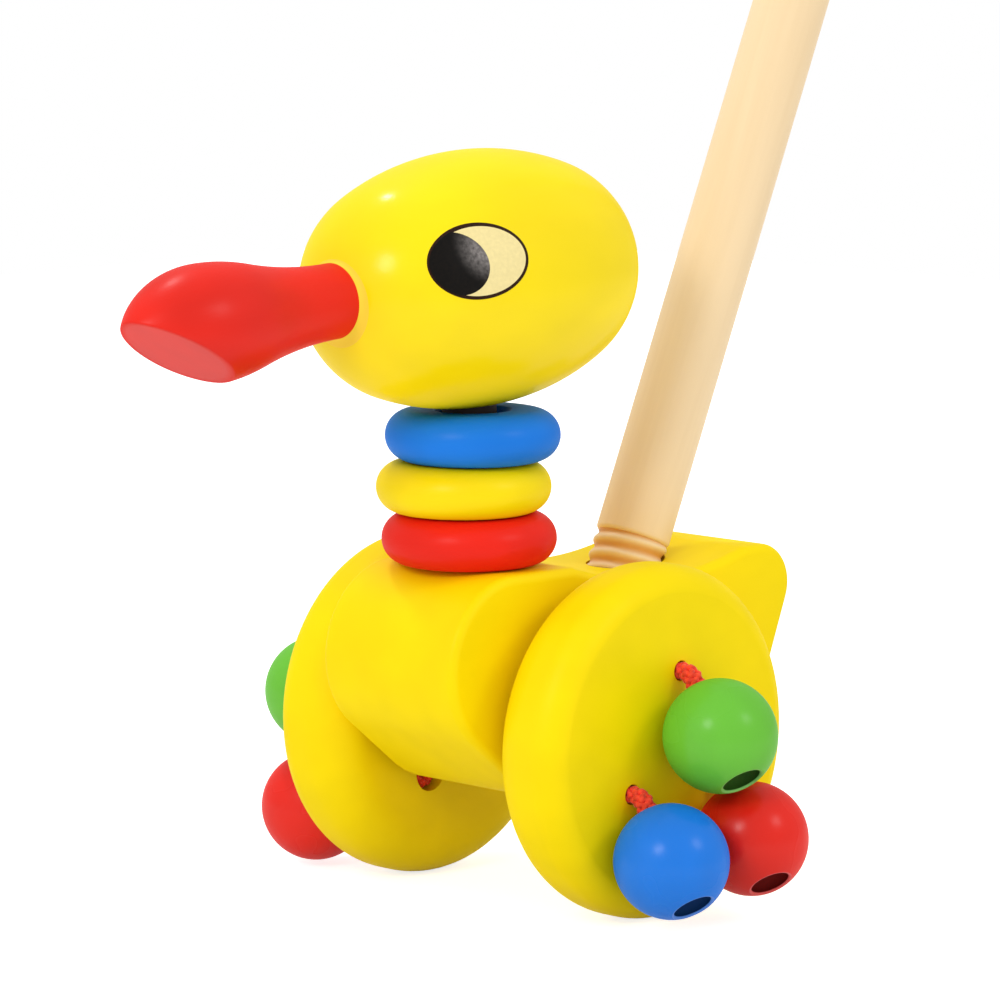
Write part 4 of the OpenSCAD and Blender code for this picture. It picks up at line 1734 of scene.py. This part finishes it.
def seen_from(azimuth, elevation):
    """Direction towards a viewer at an azimuth and elevation; azimuth 0 looks from -Y and turns towards +X."""
    return Vector(
        (
            math.sin(azimuth) * math.cos(elevation),
            -math.cos(azimuth) * math.cos(elevation),
            math.sin(elevation),
        )
    )


class DUCK_OT_stage(Operator):
    """Sets the camera, the white floor and the soft lamps"""

    bl_idname = "duck.stage"
    bl_label = "Stage"

    def execute(self, context):
        scene = context.scene
        stage = scene.duck.stage
        target = Vector(stage.target)
        back = seen_from(stage.azimuth, stage.elevation)
        camera = bpy.data.cameras.new("camera")
        camera.sensor_width = SENSOR_WIDTH
        camera.lens = stage.lens
        scene.camera = add_object("camera", camera)
        aim(scene.camera, target + back * stage.distance, -back)
        form = bmesh.new()
        bmesh.ops.create_grid(
            form, x_segments=FLOOR_CELLS, y_segments=FLOOR_CELLS, size=FLOOR_HALF
        )
        paper = white_paper("White paper", PAPER_GLOW)
        floor = place_piece("floor", bake(form, "floor", closed=False), paper)
        right = Vector((-back.y, back.x, 0)).normalized()
        up = back.cross(right)
        for name, (sideways, high, near, distance, size, power) in LAMPS.items():
            direction = (right * sideways + up * high + back * near).normalized()
            area_lamp(name, target + direction * distance, target, size, power)
        world = bpy.data.worlds.new("studio")
        world.use_nodes = True
        tree = world.node_tree
        tree.nodes.clear()
        strength = add_node(
            tree,
            "ShaderNodeMapRange",
            {"Value": showing_ray(tree), "To Min": SKY_LIGHT, "To Max": SKY_SEEN},
        )
        sky = add_node(
            tree, "ShaderNodeBackground", {"Color": (1, 1, 1, 1), "Strength": strength}
        )
        add_node(tree, "ShaderNodeOutputWorld", {"Surface": sky})
        scene.world = world
        scene.view_settings.view_transform = "Standard"
        return {"FINISHED"}


class DUCK_PT_panel(Panel):
    """Lists the toy's pieces and their settings"""

    bl_idname = "DUCK_PT_panel"
    bl_label = "Wooden duck push toy"
    bl_space_type = "VIEW_3D"
    bl_region_type = "UI"
    bl_category = "Duck toy"

    def draw(self, context):
        duck = context.scene.duck
        for operator in OPERATORS:
            self.layout.operator(operator.bl_idname)
        for group in duck.bl_rna.properties:
            if group.type != "POINTER" or group.identifier == "rna_type":
                continue
            box = self.layout.box()
            box.label(text=group.identifier.capitalize())
            settings = getattr(duck, group.identifier)
            for name in settings.__annotations__:
                box.prop(settings, name)


SETTINGS = (
    BodySettings,
    WheelSettings,
    NeckSettings,
    HeadSettings,
    BeakSettings,
    StickSettings,
    BeadSettings,
    CordSettings,
    PaintSettings,
    StageSettings,
    DuckSettings,
)
OPERATORS = (
    DUCK_OT_stage,
    DUCK_OT_cords,
    DUCK_OT_body,
    DUCK_OT_wheels,
    DUCK_OT_neck,
    DUCK_OT_head,
    DUCK_OT_eyes,
    DUCK_OT_beak,
    DUCK_OT_stick,
    DUCK_OT_beads,
)


def register():
    for cls in (*SETTINGS, *OPERATORS, DUCK_PT_panel):
        bpy.utils.register_class(cls)
    bpy.types.Scene.duck = PointerProperty(type=DuckSettings)


def unregister():
    del bpy.types.Scene.duck
    for cls in reversed((*SETTINGS, *OPERATORS, DUCK_PT_panel)):
        bpy.utils.unregister_class(cls)


def main():
    register()
    bpy.ops.duck.stage()
    bpy.ops.duck.cords()
    bpy.ops.duck.body()
    bpy.ops.duck.wheels()
    bpy.ops.duck.neck()
    bpy.ops.duck.head()
    bpy.ops.duck.eyes()
    bpy.ops.duck.beak()
    bpy.ops.duck.stick()
    bpy.ops.duck.beads()


if __name__ == "__main__":
    main()
